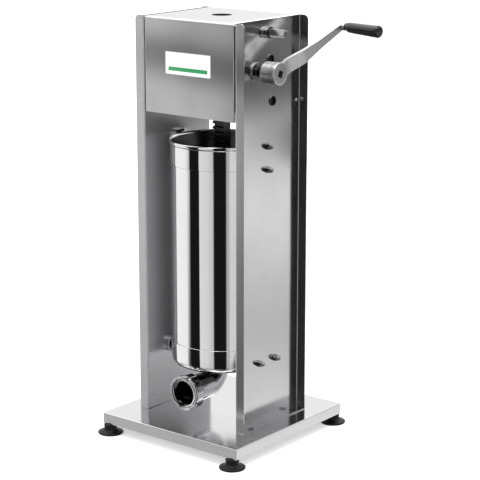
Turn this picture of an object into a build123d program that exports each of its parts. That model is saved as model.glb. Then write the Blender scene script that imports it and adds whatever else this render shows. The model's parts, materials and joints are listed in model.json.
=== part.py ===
from build123d import *
from math import atan, cos, pi, radians, sin, sqrt
import os

# A vertical, hand-cranked, two-speed sausage stuffer in stainless steel.
# Millimetres. The origin is on the floor under the middle of the base. +Z is up, and the
# sausage meat leaves towards -Y. The crank is on the +X side.

os.makedirs("parts", exist_ok=True)

# Base: a folded tray on four suction feet
base_side = 400.0
base_height = 24.5
base_lip = 32.0
foot_height = 23.5
foot_x = 183.0
foot_y = 192.0
foot_disc_radius = 30.0
foot_neck_radius = 15.5
foot_bolt_radius = 4.0
foot_nut_corner = 5.9
foot_nut_height = 5.0
sheet = 2.0
base_top = foot_height + base_height
FOOT_SPOTS = [(x, y) for x in (-foot_x, foot_x) for y in (-foot_y, foot_y)]

# Side panels: channels with their flanges turned outwards
inside_half = 131.0
panel_flange = 24.5
panel_half_depth = 116.0
panel_height = 928.0
panel_corner = 10.0
panel_bend = 3.0
foot_bend = 2.0
panel_face = inside_half + sheet
panel_top = base_top + panel_height
flange_bolt_x = 148.0
flange_bolt_y = 79.0
flange_bolt_depth = 12.0
flange_washer = 1.5
flange_head = 5.5
flange_nut = 6.5
flange_washer_radius = 7.6
flange_head_corner = 7.2
flange_nut_corner = 7.5
FLANGE_BOLT_SPOTS = [(x, y) for x in (-flange_bolt_x, flange_bolt_x) for y in (-flange_bolt_y, flange_bolt_y)]

# Hood: one folded sheet, front, top and back, over the gears
hood_half_width = 127.5
hood_sheet = 1.5
hood_bottom = base_top + 712.0
hood_bend = 7.0
hood_hole_radius = 23.0
hood_screw_radius = 2.5
hood_screw_head = 3.0
hood_screw_head_radius = 5.0
hood_screw_y = 104.0
hood_screw_z = base_top + 735.0
hood_boss_radius = 6.0
hood_return = 20.0
hood_hem = 12.0
hood_corner = 2.0
label_width = 130.0
label_height = 51.0
label_x = -2.0
label_z = base_top + 828.0
label_sheet = 0.6

# Gear train: the drive shaft turns the rack pinion, the power shaft gears down to it
pressure_angle = radians(20)
tooth_thinning = 0.12
rack_module = 4.0
pinion_teeth = 16
rack_addendum = 3.2
rack_dedendum = 4.2
gear_module = 3.0
drive_teeth = 44
power_teeth = 16
gear_addendum = 2.25
gear_dedendum = 3.0
shaft_radius = 10.0
bush_radius = 15.0
running = 0.05
bolt_play = 0.3
drive_y = -45.0
drive_z = base_top + 817.0
gear_tilt = 66.0
centre_distance = gear_module * (drive_teeth + power_teeth) / 2
power_y = drive_y + centre_distance * cos(radians(gear_tilt))
power_z = drive_z + centre_distance * sin(radians(gear_tilt))
pinion_radius = rack_module * pinion_teeth / 2
drive_axis = (drive_y, drive_z)
power_axis = (power_y, power_z)
square = 15.0
square_from = 148.0
drive_square_end = 194.0
power_square_end = 186.0
key_side = 6.0
key_play = 0.05
pinion_width = 34.0
pinion_key = 26.0
drive_gear_from = 96.0
drive_gear_width = 14.0
gear_hub_length = 14.0
gear_hub_radius = 21.0
gear_window_circle = 41.0
gear_window_radius = 11.0
gear_windows = 6
power_pinion_from = 94.0
power_pinion_width = 18.0
ring_from = 144.0
ring_width = 1.4
ring_groove = 0.6
ring_radius = 13.2
drive_flange_radius = 20.5
power_collar_radius = 12.5
power_collar = 10.0
inner_flange_radius = 18.0

# Gearbox frame: thick plates inside the hood
plate = 12.0
plate_inner = inside_half - plate
plate_front = -70.0
plate_back = 50.0
deck_bottom = base_top + 725.0
deck_top = deck_bottom + plate
plate_top = base_top + 924.0
middle_plate_x = 66.0
middle_plate = 10.0
beam_front = 27.0
beam_depth = 20.0
beam_bottom = base_top + 797.0
beam_height = 40.0
gearbox_bolt_radius = 6.0
gearbox_washer_radius = 11.5
gearbox_washer = 2.0
gearbox_head_corner = 10.9
gearbox_head = 9.0
gearbox_bolt_spots = [(6.4, base_top + 838.0), (14.0, base_top + 745.0)]

# Ram: rack, piston and the valve that lets trapped air out
rack_half_width = 15.0
rack_back = 12.0
rack_top = base_top + 924.0
rack_teeth_from = base_top + 262.0
ram_travel = 524.0
piston_bottom = base_top + 132.0
piston_height = 34.0
piston_radius = 114.5
piston_top = piston_bottom + piston_height
spigot_radius = 10.0
valve_x = 62.0
valve_lift = 3.0

# Cylinder and outlet
bore_radius = 116.0
wall_radius = 118.0
band_radius = 119.5
rim_radius = 121.5
cylinder_bottom = base_top + 120.0
lower_seam = base_top + 177.0
upper_seam = base_top + 593.0
rim_bottom = base_top + 639.0
rim_top = base_top + 648.0
rim_flare = 2.5
bottom_round = 16.0
outlet_drop_y = -25.0
outlet_z = base_top + 74.0
outlet_bend = 45.0
outlet_radius = 31.0
outlet_bore = 28.5
ferrule_back = -110.0
ferrule_front = -136.0
thread_radius = 36.0
nut_radius = 40.0
nut_back = -114.0
nut_front = -143.0
nut_bore = 29.5
nut_lugs = 6
nut_collar = 8.0

# What carries the cylinder: a cradle of two discs below and a slotted catch above, each side
cradle_y = -3.0
cradle_z = base_top + 145.0
cradle_spread = 29.5
disc_radius = 21.5
disc_inner = 119.8
trunnion_radius = 12.0
trunnion_z = cradle_z + sqrt((disc_radius + trunnion_radius) ** 2 - cradle_spread**2) + 0.05
stud_radius = 6.0
catch_low = base_top + 592.0
catch_high = base_top + 645.0
catch_inner = 122.3
catch_z = (catch_low + catch_high) / 2
catch_width = 30.0
catch_length = 74.0
bolt_radius = 4.0
bolt_head_radius = 6.5
counterbore_radius = 7.0
bolt_tail = 12.0
hex_socket = 3.4
hex_socket_depth = 3.0
acorn_washer_radius = 8.0
acorn_washer = 1.6
acorn_corner = 7.5
acorn_hex = 7.0
acorn_dome_radius = 5.9
acorn_dome = 8.0
CRADLE_SPOTS = [(cradle_y - cradle_spread, cradle_z), (cradle_y + cradle_spread, cradle_z)]
CATCH_SPOTS = [(cradle_y, catch_low), (cradle_y, catch_high)]

# Crank: hub, offset arm and a grip that turns on its own pin
hub_radius = 25.0
hub_inner = 160.0
hub_length = 40.0
hub_groove = 188.0
hub_outer = hub_inner + hub_length
arm_rise_degrees = 23.6
arm_rise = radians(arm_rise_degrees)
square_turn = arm_rise_degrees + 45.0
arm_lean = radians(5)
arm_throw = 217.0
arm_thickness = 8.0
arm_root_x = 194.0
arm_offset_x = 208.0
grip_length = 96.0
grip_neck = 9.0
pin_collar = 9.0
grip_small = 11.7
grip_large = 14.0
pin_radius = 5.0

arm_along = Vector(0, cos(arm_rise), sin(arm_rise))
arm_side = Vector(0, -sin(arm_rise), cos(arm_rise))
crank_centre = Vector(0, drive_y, drive_z)
pin_way = Vector(cos(arm_lean), 0, 0) - arm_along * sin(arm_lean)
arm_end_x = arm_offset_x + (arm_throw - 80) * sin(arm_lean) / cos(arm_lean)
pin_root = crank_centre + arm_along * arm_throw + Vector(arm_end_x, 0, 0)


def involute(base_radius, radius):
    """Angle between an involute's start and the point where it reaches the radius."""
    roll = sqrt((radius / base_radius) ** 2 - 1)
    return roll - atan(roll)


def polar(radius, angle):
    return (radius * cos(angle), radius * sin(angle))


def gear_outline(teeth, module, addendum, dedendum, tooth_at):
    """Spur gear outline about its own centre, with one tooth centred on the angle tooth_at."""
    pitch = module * teeth / 2
    base = pitch * cos(pressure_angle)
    tip = pitch + addendum
    root = pitch - dedendum
    start = max(base, root)
    middle = (start + tip) / 2
    half = pi / (2 * teeth) - tooth_thinning / pitch + involute(base, pitch)
    with BuildSketch() as outline:
        with BuildLine():
            for number in range(teeth):
                centre = radians(tooth_at) + 2 * pi * number / teeth
                following = centre + 2 * pi / teeth
                low = [polar(r, centre - half + involute(base, r)) for r in (start, middle, tip)]
                high = [polar(r, centre + half - involute(base, r)) for r in (tip, middle, start)]
                ThreePointArc(*low)
                ThreePointArc(low[2], polar(tip, centre), high[0])
                ThreePointArc(*high)
                foot = high[2]
                next_start = polar(start, following - half + involute(base, start))
                landing = next_start
                if root < base:
                    foot = polar(root, centre + half)
                    Line(high[2], foot)
                    landing = polar(root, following - half)
                    Line(landing, next_start)
                ThreePointArc(foot, polar(root, centre + pi / teeth), landing)
        make_face()
    return outline.sketch


def foot(x, y):
    """A rubber suction foot: neck, waist and wide cup, hollow underneath."""
    with BuildPart() as rubber:
        with BuildSketch(Plane.XZ) as profile:
            with BuildLine():
                Polyline(
                    (foot_bolt_radius + 0.1, foot_height),
                    (foot_neck_radius - 2, foot_height),
                    (foot_neck_radius, foot_height - 2),
                    (foot_neck_radius, foot_height - 7),
                )
                Spline(
                    (foot_neck_radius, foot_height - 7),
                    (foot_neck_radius + 1.5, 10.5),
                    (foot_disc_radius - 2, 4.5),
                    tangents=((-0.3, -1), (1, -0.35)),
                )
                ThreePointArc(
                    (foot_disc_radius - 2, 4.5),
                    (foot_disc_radius, 2.4),
                    (foot_disc_radius - 1.2, 0),
                )
                Line((foot_disc_radius - 1.2, 0), (foot_disc_radius - 6, 0))
                ThreePointArc((foot_disc_radius - 6, 0), (14, 3.2), (foot_bolt_radius + 0.1, 4))
                Line((foot_bolt_radius + 0.1, 4), (foot_bolt_radius + 0.1, foot_height))
            make_face()
        revolve(axis=Axis.Z)
    with BuildPart() as placed:
        with Locations((x, y, 0)):
            add(rubber.part)
    return placed


def side_panel(shaft_holes):
    """The +X side panel: one sheet folded into a channel, with a flange along its foot."""
    with BuildPart() as panel:
        with BuildSketch(Plane.XY.offset(base_top)) as section:
            with Locations((inside_half + panel_flange / 2, 0)):
                Rectangle(panel_flange, 2 * panel_half_depth)
            fillet(section.vertices().group_by(Axis.X)[0], panel_bend)
            with Locations((panel_face + panel_flange / 2, 0)):
                Rectangle(panel_flange, 2 * (panel_half_depth - sheet), mode=Mode.SUBTRACT)
            inner_corners = section.vertices().filter_by_position(
                Axis.X, panel_face - running, panel_face + running
            )
            fillet(inner_corners, panel_bend - sheet)
        extrude(amount=panel_height)
        outer_tops = panel.edges().filter_by(Axis.Y).group_by(Axis.Z)[-1].group_by(Axis.X)[-1]
        fillet(outer_tops, panel_corner)
        with BuildSketch(Plane.XY.offset(base_top)):
            with Locations((panel_face + (panel_flange - sheet) / 2, 0)):
                Rectangle(panel_flange - sheet, 2 * (panel_half_depth - sheet))
            with Locations((flange_bolt_x, -flange_bolt_y), (flange_bolt_x, flange_bolt_y)):
                Circle(bolt_radius + bolt_play, mode=Mode.SUBTRACT)
        extrude(amount=sheet)
        foot_fold = panel.edges().filter_by(Axis.Y).group_by(Axis.Z)[0].sort_by(Axis.X)[0]
        fillet(foot_fold, foot_bend)
        with BuildSketch(Plane.YZ.offset(inside_half)):
            if shaft_holes:
                with Locations(drive_axis, power_axis):
                    Circle(bush_radius + running)
            with Locations(*gearbox_bolt_spots):
                Circle(gearbox_bolt_radius + bolt_play)
            with Locations(*CRADLE_SPOTS, *CATCH_SPOTS):
                Circle(bolt_radius + bolt_play)
            with Locations((hood_screw_y, hood_screw_z)):
                Circle(hood_screw_radius + bolt_play)
        extrude(amount=sheet, mode=Mode.SUBTRACT)
    return panel


def gearbox_plate():
    """The +X bearing plate of the gearbox, bored for both shafts and tapped for its bolts."""
    with BuildPart() as thick:
        with BuildSketch(Plane.YZ.offset(plate_inner)):
            with Locations(((plate_front + plate_back) / 2, (deck_bottom + plate_top) / 2)):
                Rectangle(plate_back - plate_front, plate_top - deck_bottom)
            with Locations(drive_axis, power_axis):
                Circle(bush_radius + running, mode=Mode.SUBTRACT)
            with Locations(*gearbox_bolt_spots):
                Circle(gearbox_bolt_radius + running, mode=Mode.SUBTRACT)
        extrude(amount=plate)
    return thick


def flanged_bush(axis, start, length, flange_start, flange_length, flange_radius):
    """A bush on a shaft axis: a barrel and a wider flange, bored for a running fit."""
    with BuildPart() as bush:
        with BuildSketch(Plane.YZ.offset(start)):
            with Locations(axis):
                Circle(bush_radius)
        extrude(amount=length)
        with BuildSketch(Plane.YZ.offset(flange_start)):
            with Locations(axis):
                Circle(flange_radius)
        extrude(amount=flange_length)
        with BuildSketch(Plane.YZ.offset(min(start, flange_start))):
            with Locations(axis):
                Circle(shaft_radius + running)
        extrude(amount=length + flange_length, mode=Mode.SUBTRACT)
        chamfer(bush.edges().filter_by(GeomType.CIRCLE).sort_by(SortBy.RADIUS)[-1], 0.6)
    return bush


def square_end(axis, start, end):
    """The square that the crank fits on, cut from the round shaft, one corner along the arm."""
    with BuildPart() as end_piece:
        with BuildSketch(Plane.YZ.offset(start)):
            with Locations(axis):
                Circle(shaft_radius)
                Rectangle(square, square, rotation=square_turn, mode=Mode.INTERSECT)
        extrude(amount=end - start)
    return end_piece.part


def ring_seat(axis):
    """The groove that a retaining ring sits in, as the metal to take off the shaft."""
    with BuildPart() as groove:
        with BuildSketch(Plane.YZ.offset(ring_from)):
            with Locations(axis):
                Circle(shaft_radius + 1)
                Circle(shaft_radius - ring_groove, mode=Mode.SUBTRACT)
        extrude(amount=ring_width + 2 * running)
    return groove.part


def retaining_ring(axis):
    """A spring ring, open at the bottom, that keeps its shaft from sliding inwards."""
    with BuildPart() as ring:
        with BuildSketch(Plane.YZ.offset(ring_from + running)):
            with Locations(axis):
                Circle(ring_radius)
                Circle(shaft_radius - ring_groove + running, mode=Mode.SUBTRACT)
            with Locations((axis[0], axis[1] - ring_radius)):
                Rectangle(key_side, 2 * ring_radius - shaft_radius, mode=Mode.SUBTRACT)
        extrude(amount=ring_width)
    return ring


def key(axis, start, length):
    """A square key lying along a shaft, at the top of it."""
    with BuildPart() as bar:
        with BuildSketch(Plane.YZ.offset(start + key_play)):
            with Locations((axis[0], axis[1] + shaft_radius)):
                Rectangle(key_side, key_side)
        extrude(amount=length - 2 * key_play)
    return bar


def keyway(axis, start, length):
    """Room for a key, a little larger than the key itself."""
    with BuildPart() as room:
        with BuildSketch(Plane.YZ.offset(start)):
            with Locations((axis[0], axis[1] + shaft_radius)):
                Rectangle(key_side + 2 * key_play, key_side + 2 * key_play)
        extrude(amount=length)
    return room.part


def both_sides(right):
    """The same piece on the -X side as well, as separate solids in one part."""
    with BuildPart() as pair:
        add(right.part)
        mirror(right.part, about=Plane.YZ)
    return pair


def other_side(right):
    """The piece as its mirror image on the -X side."""
    with BuildPart() as left:
        mirror(right.part, about=Plane.YZ)
    return left


# Base tray, with a lip turned in under its edge for the feet
with BuildPart() as base_tray:
    with BuildSketch(Plane.XY.offset(foot_height)):
        RectangleRounded(base_side, base_side, 3)
    extrude(amount=base_height)
    fillet(base_tray.faces().sort_by(Axis.Z)[-1].edges(), 1.5)
    with BuildSketch(Plane.XY.offset(foot_height + sheet)):
        Rectangle(base_side - 2 * sheet, base_side - 2 * sheet)
    extrude(amount=base_height - 2 * sheet, mode=Mode.SUBTRACT)
    with BuildSketch(Plane.XY.offset(foot_height)):
        Rectangle(base_side - 2 * base_lip, base_side - 2 * base_lip)
    extrude(amount=sheet, mode=Mode.SUBTRACT)
    with BuildSketch(Plane.XY.offset(foot_height)):
        with Locations(*FOOT_SPOTS):
            Circle(foot_bolt_radius + 0.1)
    extrude(amount=sheet, mode=Mode.SUBTRACT)
    with BuildSketch(Plane.XY.offset(base_top)):
        with Locations(*FLANGE_BOLT_SPOTS):
            Circle(bolt_radius + bolt_play)
    extrude(amount=-sheet, mode=Mode.SUBTRACT)
base_tray.part.label = "base_tray"
export_step(base_tray.part, "parts/base_tray.step")

# Feet, their bolts and the nuts inside the tray
for x, y in FOOT_SPOTS:
    name = "foot_" + ("front_" if y < 0 else "rear_") + ("left" if x < 0 else "right")
    rubber_foot = foot(x, y)
    rubber_foot.part.label = name
    export_step(rubber_foot.part, f"parts/{name}.step")

with BuildPart() as foot_bolts:
    with BuildSketch(Plane.XY.offset(4.5)):
        with Locations(*FOOT_SPOTS):
            Circle(foot_bolt_radius)
    extrude(amount=foot_height + 8)
foot_bolts.part.label = "foot_bolts"
export_step(foot_bolts.part, "parts/foot_bolts.step")

with BuildPart() as foot_nuts:
    with BuildSketch(Plane.XY.offset(foot_height + sheet)):
        with Locations(*FOOT_SPOTS):
            RegularPolygon(foot_nut_corner, 6, major_radius=True)
            Circle(foot_bolt_radius + bolt_play, mode=Mode.SUBTRACT)
    extrude(amount=foot_nut_height)
foot_nuts.part.label = "foot_nuts"
export_step(foot_nuts.part, "parts/foot_nuts.step")

# Side panels; only the right one is bored for the shafts
side_panel_right = side_panel(shaft_holes=True)
side_panel_right.part.label = "side_panel_right"
export_step(side_panel_right.part, "parts/side_panel_right.step")

side_panel_left = other_side(side_panel(shaft_holes=False))
side_panel_left.part.label = "side_panel_left"
export_step(side_panel_left.part, "parts/side_panel_left.step")

# Bolts and nuts that hold the panels down
with BuildPart() as right_flange_bolts:
    for y in (-flange_bolt_y, flange_bolt_y):
        with BuildSketch(Plane.XY.offset(base_top - flange_bolt_depth)):
            with Locations((flange_bolt_x, y)):
                Circle(bolt_radius)
        extrude(amount=flange_bolt_depth + sheet + flange_washer)
        with BuildSketch(Plane.XY.offset(base_top + sheet)):
            with Locations((flange_bolt_x, y)):
                Circle(flange_washer_radius)
        extrude(amount=flange_washer)
        with BuildSketch(Plane.XY.offset(base_top + sheet + flange_washer)):
            with Locations((flange_bolt_x, y)):
                RegularPolygon(flange_head_corner, 6, major_radius=True)
        extrude(amount=flange_head)
    chamfer(right_flange_bolts.faces().sort_by(Axis.Z)[-2:].edges(), 0.6)
flange_bolts = both_sides(right_flange_bolts)
flange_bolts.part.label = "flange_bolts"
export_step(flange_bolts.part, "parts/flange_bolts.step")

with BuildPart() as right_flange_nuts:
    with BuildSketch(Plane.XY.offset(base_top - sheet - flange_nut)):
        with Locations((flange_bolt_x, -flange_bolt_y), (flange_bolt_x, flange_bolt_y)):
            RegularPolygon(flange_nut_corner, 6, major_radius=True)
            Circle(bolt_radius + running, mode=Mode.SUBTRACT)
    extrude(amount=flange_nut)
flange_nuts = both_sides(right_flange_nuts)
flange_nuts.part.label = "flange_nuts"
export_step(flange_nuts.part, "parts/flange_nuts.step")

# Hood: front, top and back in one folded sheet, its side edges turned in and its foot hemmed
with BuildPart() as hood:
    hood_depth = 2 * panel_half_depth
    hood_height = panel_top - hood_bottom
    with BuildSketch(Plane.XY.offset(hood_bottom)):
        RectangleRounded(2 * hood_half_width, hood_depth, hood_corner)
    extrude(amount=hood_height)
    fillet(hood.edges().filter_by(Axis.X).group_by(Axis.Z)[-1], hood_bend)
    with BuildSketch(Plane.YZ.offset(-hood_half_width + hood_sheet)) as hollow:
        with Locations((0, hood_bottom + hood_height / 2)):
            Rectangle(hood_depth - 2 * hood_sheet, hood_height - 2 * hood_sheet)
        fillet(hollow.vertices().group_by(Axis.Y)[-1], hood_bend - hood_sheet)
    extrude(amount=2 * (hood_half_width - hood_sheet), mode=Mode.SUBTRACT)
    with BuildSketch(Plane.XY.offset(hood_bottom)):
        Rectangle(2 * (hood_half_width - hood_sheet), hood_depth - 2 * hood_hem)
    extrude(amount=hood_sheet, mode=Mode.SUBTRACT)
    with BuildSketch(Plane.YZ.offset(-hood_half_width)):
        with Locations((0, hood_bottom + (hood_height - hood_sheet) / 2)):
            Rectangle(hood_depth - 2 * hood_return, hood_height - hood_sheet)
    extrude(amount=2 * hood_half_width, mode=Mode.SUBTRACT)
    with BuildSketch(Plane.XY.offset(panel_top)):
        Circle(hood_hole_radius)
    extrude(amount=-2 * hood_sheet, mode=Mode.SUBTRACT)
    for side in (-1, 1):
        with BuildSketch(Plane.YZ.offset(side * hood_half_width)):
            with Locations((hood_screw_y, hood_screw_z)):
                Circle(hood_boss_radius)
        extrude(amount=side * (inside_half - hood_half_width))
        with BuildSketch(Plane.YZ.offset(side * inside_half)):
            with Locations((hood_screw_y, hood_screw_z)):
                Circle(hood_screw_radius + running)
        extrude(amount=-side * (inside_half - hood_half_width + hood_sheet), mode=Mode.SUBTRACT)
hood.part.label = "hood"
export_step(hood.part, "parts/hood.step")

with BuildPart() as right_hood_screw:
    with BuildSketch(Plane.YZ.offset(panel_face)):
        with Locations((hood_screw_y, hood_screw_z)):
            Circle(hood_screw_head_radius)
    extrude(amount=hood_screw_head)
    fillet(right_hood_screw.edges().filter_by(GeomType.CIRCLE).sort_by(Axis.X)[-1], 1.8)
    with BuildSketch(Plane.YZ.offset(panel_face)):
        with Locations((hood_screw_y, hood_screw_z)):
            Circle(hood_screw_radius)
    extrude(amount=-8)
hood_screws = both_sides(right_hood_screw)
hood_screws.part.label = "hood_screws"
export_step(hood_screws.part, "parts/hood_screws.step")

# Blank label on the hood's front
with BuildPart() as label_plate:
    with BuildSketch(Plane.XZ.offset(panel_half_depth)):
        with Locations((label_x, label_z)):
            RectangleRounded(label_width, label_height, 2)
    extrude(amount=label_sheet)
label_plate.part.label = "label_plate"
export_step(label_plate.part, "parts/label_plate.step")

# Gearbox frame
gearbox_plate_right = gearbox_plate()
gearbox_plate_right.part.label = "gearbox_plate_right"
export_step(gearbox_plate_right.part, "parts/gearbox_plate_right.step")

gearbox_plate_left = other_side(gearbox_plate_right)
gearbox_plate_left.part.label = "gearbox_plate_left"
export_step(gearbox_plate_left.part, "parts/gearbox_plate_left.step")

with BuildPart() as middle_bearing_plate:
    with BuildSketch(Plane.YZ.offset(middle_plate_x)):
        with Locations(((plate_front + plate_back) / 2, (deck_top + plate_top) / 2)):
            Rectangle(plate_back - plate_front, plate_top - deck_top)
        with Locations(drive_axis, power_axis):
            Circle(bush_radius + running, mode=Mode.SUBTRACT)
    extrude(amount=middle_plate)
    fillet(middle_bearing_plate.edges().filter_by(Axis.X).group_by(Axis.Z)[-1], 8)
middle_bearing_plate.part.label = "middle_bearing_plate"
export_step(middle_bearing_plate.part, "parts/middle_bearing_plate.step")

with BuildPart() as gearbox_deck:
    with BuildSketch(Plane.XY.offset(deck_bottom)):
        with Locations((0, (plate_front + plate_back) / 2)):
            Rectangle(2 * plate_inner, plate_back - plate_front)
        with Locations((0, -2)):
            RectangleRounded(2 * rack_half_width + 4, 34, 2, mode=Mode.SUBTRACT)
    extrude(amount=plate)
gearbox_deck.part.label = "gearbox_deck"
export_step(gearbox_deck.part, "parts/gearbox_deck.step")

with BuildPart() as guide_beam:
    with BuildSketch(Plane.YZ.offset(-plate_inner)):
        with Locations((beam_front + beam_depth / 2, beam_bottom + beam_height / 2)):
            Rectangle(beam_depth, beam_height)
    extrude(amount=plate_inner + middle_plate_x)
    chamfer(guide_beam.edges().filter_by(Axis.X), 1)
guide_beam.part.label = "guide_beam"
export_step(guide_beam.part, "parts/guide_beam.step")

# Bronze block that takes the rack's back and sides
with BuildPart() as rack_guide:
    with BuildSketch(Plane.XY.offset(beam_bottom)):
        with Locations((0, (beam_front - 6) / 2)):
            Rectangle(50, beam_front + 6)
        with Locations((0, (rack_back + 0.1 - 6) / 2)):
            Rectangle(2 * rack_half_width + 0.2, rack_back + 0.1 + 6, mode=Mode.SUBTRACT)
    extrude(amount=beam_height)
rack_guide.part.label = "rack_guide"
export_step(rack_guide.part, "parts/rack_guide.step")

# Bolts that hold the gearbox to the side panels
with BuildPart() as right_gearbox_bolts:
    for spot in gearbox_bolt_spots:
        with BuildSketch(Plane.YZ.offset(plate_inner + 1)):
            with Locations(spot):
                Circle(gearbox_bolt_radius)
        extrude(amount=plate + sheet)
        with BuildSketch(Plane.YZ.offset(panel_face)):
            with Locations(spot):
                Circle(gearbox_washer_radius)
        extrude(amount=gearbox_washer)
        with BuildSketch(Plane.YZ.offset(panel_face + gearbox_washer)):
            with Locations(spot):
                RegularPolygon(gearbox_head_corner, 6, major_radius=True)
        extrude(amount=gearbox_head)
    chamfer(right_gearbox_bolts.faces().sort_by(Axis.X)[-2:].edges(), 0.8)
gearbox_bolts = both_sides(right_gearbox_bolts)
gearbox_bolts.part.label = "gearbox_bolts"
export_step(gearbox_bolts.part, "parts/gearbox_bolts.step")

# Drive shaft, with a square end for the crank
pinion_from = -pinion_width / 2
gear_hub_from = drive_gear_from - gear_hub_length
gear_length = gear_hub_length + drive_gear_width
with BuildPart() as drive_shaft:
    with BuildSketch(Plane.YZ.offset(-inside_half + 3)):
        with Locations(drive_axis):
            Circle(shaft_radius)
    extrude(amount=square_from + inside_half - 3)
    add(square_end(drive_axis, square_from, drive_square_end))
    chamfer(drive_shaft.faces().sort_by(Axis.X)[-1].edges(), 1)
    add(keyway(drive_axis, -pinion_key / 2, pinion_key), mode=Mode.SUBTRACT)
    add(keyway(drive_axis, gear_hub_from + 2, gear_length - 4), mode=Mode.SUBTRACT)
    add(ring_seat(drive_axis), mode=Mode.SUBTRACT)
drive_shaft.part.label = "drive_shaft"
export_step(drive_shaft.part, "parts/drive_shaft.step")

drive_ring = retaining_ring(drive_axis)
drive_ring.part.label = "drive_ring"
export_step(drive_ring.part, "parts/drive_ring.step")

with BuildPart() as rack_pinion:
    with BuildSketch(Plane.YZ.offset(pinion_from)):
        with Locations(drive_axis):
            add(gear_outline(pinion_teeth, rack_module, rack_addendum, rack_dedendum, 0))
            Circle(shaft_radius + running, mode=Mode.SUBTRACT)
    extrude(amount=pinion_width)
    add(keyway(drive_axis, pinion_from, pinion_width), mode=Mode.SUBTRACT)
rack_pinion.part.label = "rack_pinion"
export_step(rack_pinion.part, "parts/rack_pinion.step")

with BuildPart() as drive_gear:
    with BuildSketch(Plane.YZ.offset(drive_gear_from)):
        with Locations(drive_axis):
            add(gear_outline(drive_teeth, gear_module, gear_addendum, gear_dedendum, gear_tilt))
            with PolarLocations(gear_window_circle, gear_windows, start_angle=30):
                Circle(gear_window_radius, mode=Mode.SUBTRACT)
    extrude(amount=drive_gear_width)
    with BuildSketch(Plane.YZ.offset(gear_hub_from)):
        with Locations(drive_axis):
            Circle(gear_hub_radius)
    extrude(amount=gear_hub_length)
    with BuildSketch(Plane.YZ.offset(gear_hub_from)):
        with Locations(drive_axis):
            Circle(shaft_radius + running)
    extrude(amount=gear_length, mode=Mode.SUBTRACT)
    add(keyway(drive_axis, gear_hub_from, gear_length), mode=Mode.SUBTRACT)
drive_gear.part.label = "drive_gear"
export_step(drive_gear.part, "parts/drive_gear.step")

with BuildPart() as drive_keys:
    add(key(drive_axis, -pinion_key / 2, pinion_key).part)
    add(key(drive_axis, gear_hub_from + 2, gear_length - 4).part)
drive_keys.part.label = "drive_keys"
export_step(drive_keys.part, "parts/drive_keys.step")

# Sleeves that keep the pinion in the middle of its shaft
with BuildPart() as pinion_sleeves:
    for start, end in ((-plate_inner + 3.2, pinion_from - 0.1), (-pinion_from + 0.1, middle_plate_x - 2.2)):
        with BuildSketch(Plane.YZ.offset(start)):
            with Locations(drive_axis):
                Circle(shaft_radius + 3.5)
                Circle(shaft_radius + running, mode=Mode.SUBTRACT)
        extrude(amount=end - start)
pinion_sleeves.part.label = "pinion_sleeves"
export_step(pinion_sleeves.part, "parts/pinion_sleeves.step")

# Bushes of the drive shaft
drive_bush_right = flanged_bush(drive_axis, plate_inner, plate + sheet, panel_face, 4, drive_flange_radius)
drive_bush_right.part.label = "drive_bush_right"
export_step(drive_bush_right.part, "parts/drive_bush_right.step")

drive_bush_middle = flanged_bush(
    drive_axis, middle_plate_x, middle_plate, middle_plate_x - 2, 2, inner_flange_radius
)
drive_bush_middle.part.label = "drive_bush_middle"
export_step(drive_bush_middle.part, "parts/drive_bush_middle.step")

drive_bush_left = flanged_bush(drive_axis, -inside_half + 1, plate - 1, -plate_inner, 3, inner_flange_radius)
drive_bush_left.part.label = "drive_bush_left"
export_step(drive_bush_left.part, "parts/drive_bush_left.step")

# Power shaft: a short shaft above, geared down to the drive shaft
with BuildPart() as power_shaft:
    with BuildSketch(Plane.YZ.offset(middle_plate_x - 1)):
        with Locations(power_axis):
            Circle(shaft_radius)
    extrude(amount=square_from - middle_plate_x + 1)
    add(square_end(power_axis, square_from, power_square_end))
    chamfer(power_shaft.faces().sort_by(Axis.X)[-1].edges(), 1)
    add(keyway(power_axis, power_pinion_from + 1, power_pinion_width - 2), mode=Mode.SUBTRACT)
    add(ring_seat(power_axis), mode=Mode.SUBTRACT)
power_shaft.part.label = "power_shaft"
export_step(power_shaft.part, "parts/power_shaft.step")

power_ring = retaining_ring(power_axis)
power_ring.part.label = "power_ring"
export_step(power_ring.part, "parts/power_ring.step")

with BuildPart() as power_pinion:
    space_facing = gear_tilt + 180 + 180 / power_teeth
    with BuildSketch(Plane.YZ.offset(power_pinion_from)):
        with Locations(power_axis):
            add(gear_outline(power_teeth, gear_module, gear_addendum, gear_dedendum, space_facing))
            Circle(shaft_radius + running, mode=Mode.SUBTRACT)
    extrude(amount=power_pinion_width)
    add(keyway(power_axis, power_pinion_from, power_pinion_width), mode=Mode.SUBTRACT)
power_pinion.part.label = "power_pinion"
export_step(power_pinion.part, "parts/power_pinion.step")

power_key = key(power_axis, power_pinion_from + 1, power_pinion_width - 2)
power_key.part.label = "power_key"
export_step(power_key.part, "parts/power_key.step")

power_bush_right = flanged_bush(
    power_axis, plate_inner, plate + sheet, panel_face, power_collar, power_collar_radius
)
power_bush_right.part.label = "power_bush_right"
export_step(power_bush_right.part, "parts/power_bush_right.step")

power_bush_middle = flanged_bush(
    power_axis, middle_plate_x, middle_plate, middle_plate_x + middle_plate, 2, inner_flange_radius
)
power_bush_middle.part.label = "power_bush_middle"
export_step(power_bush_middle.part, "parts/power_bush_middle.step")

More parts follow.
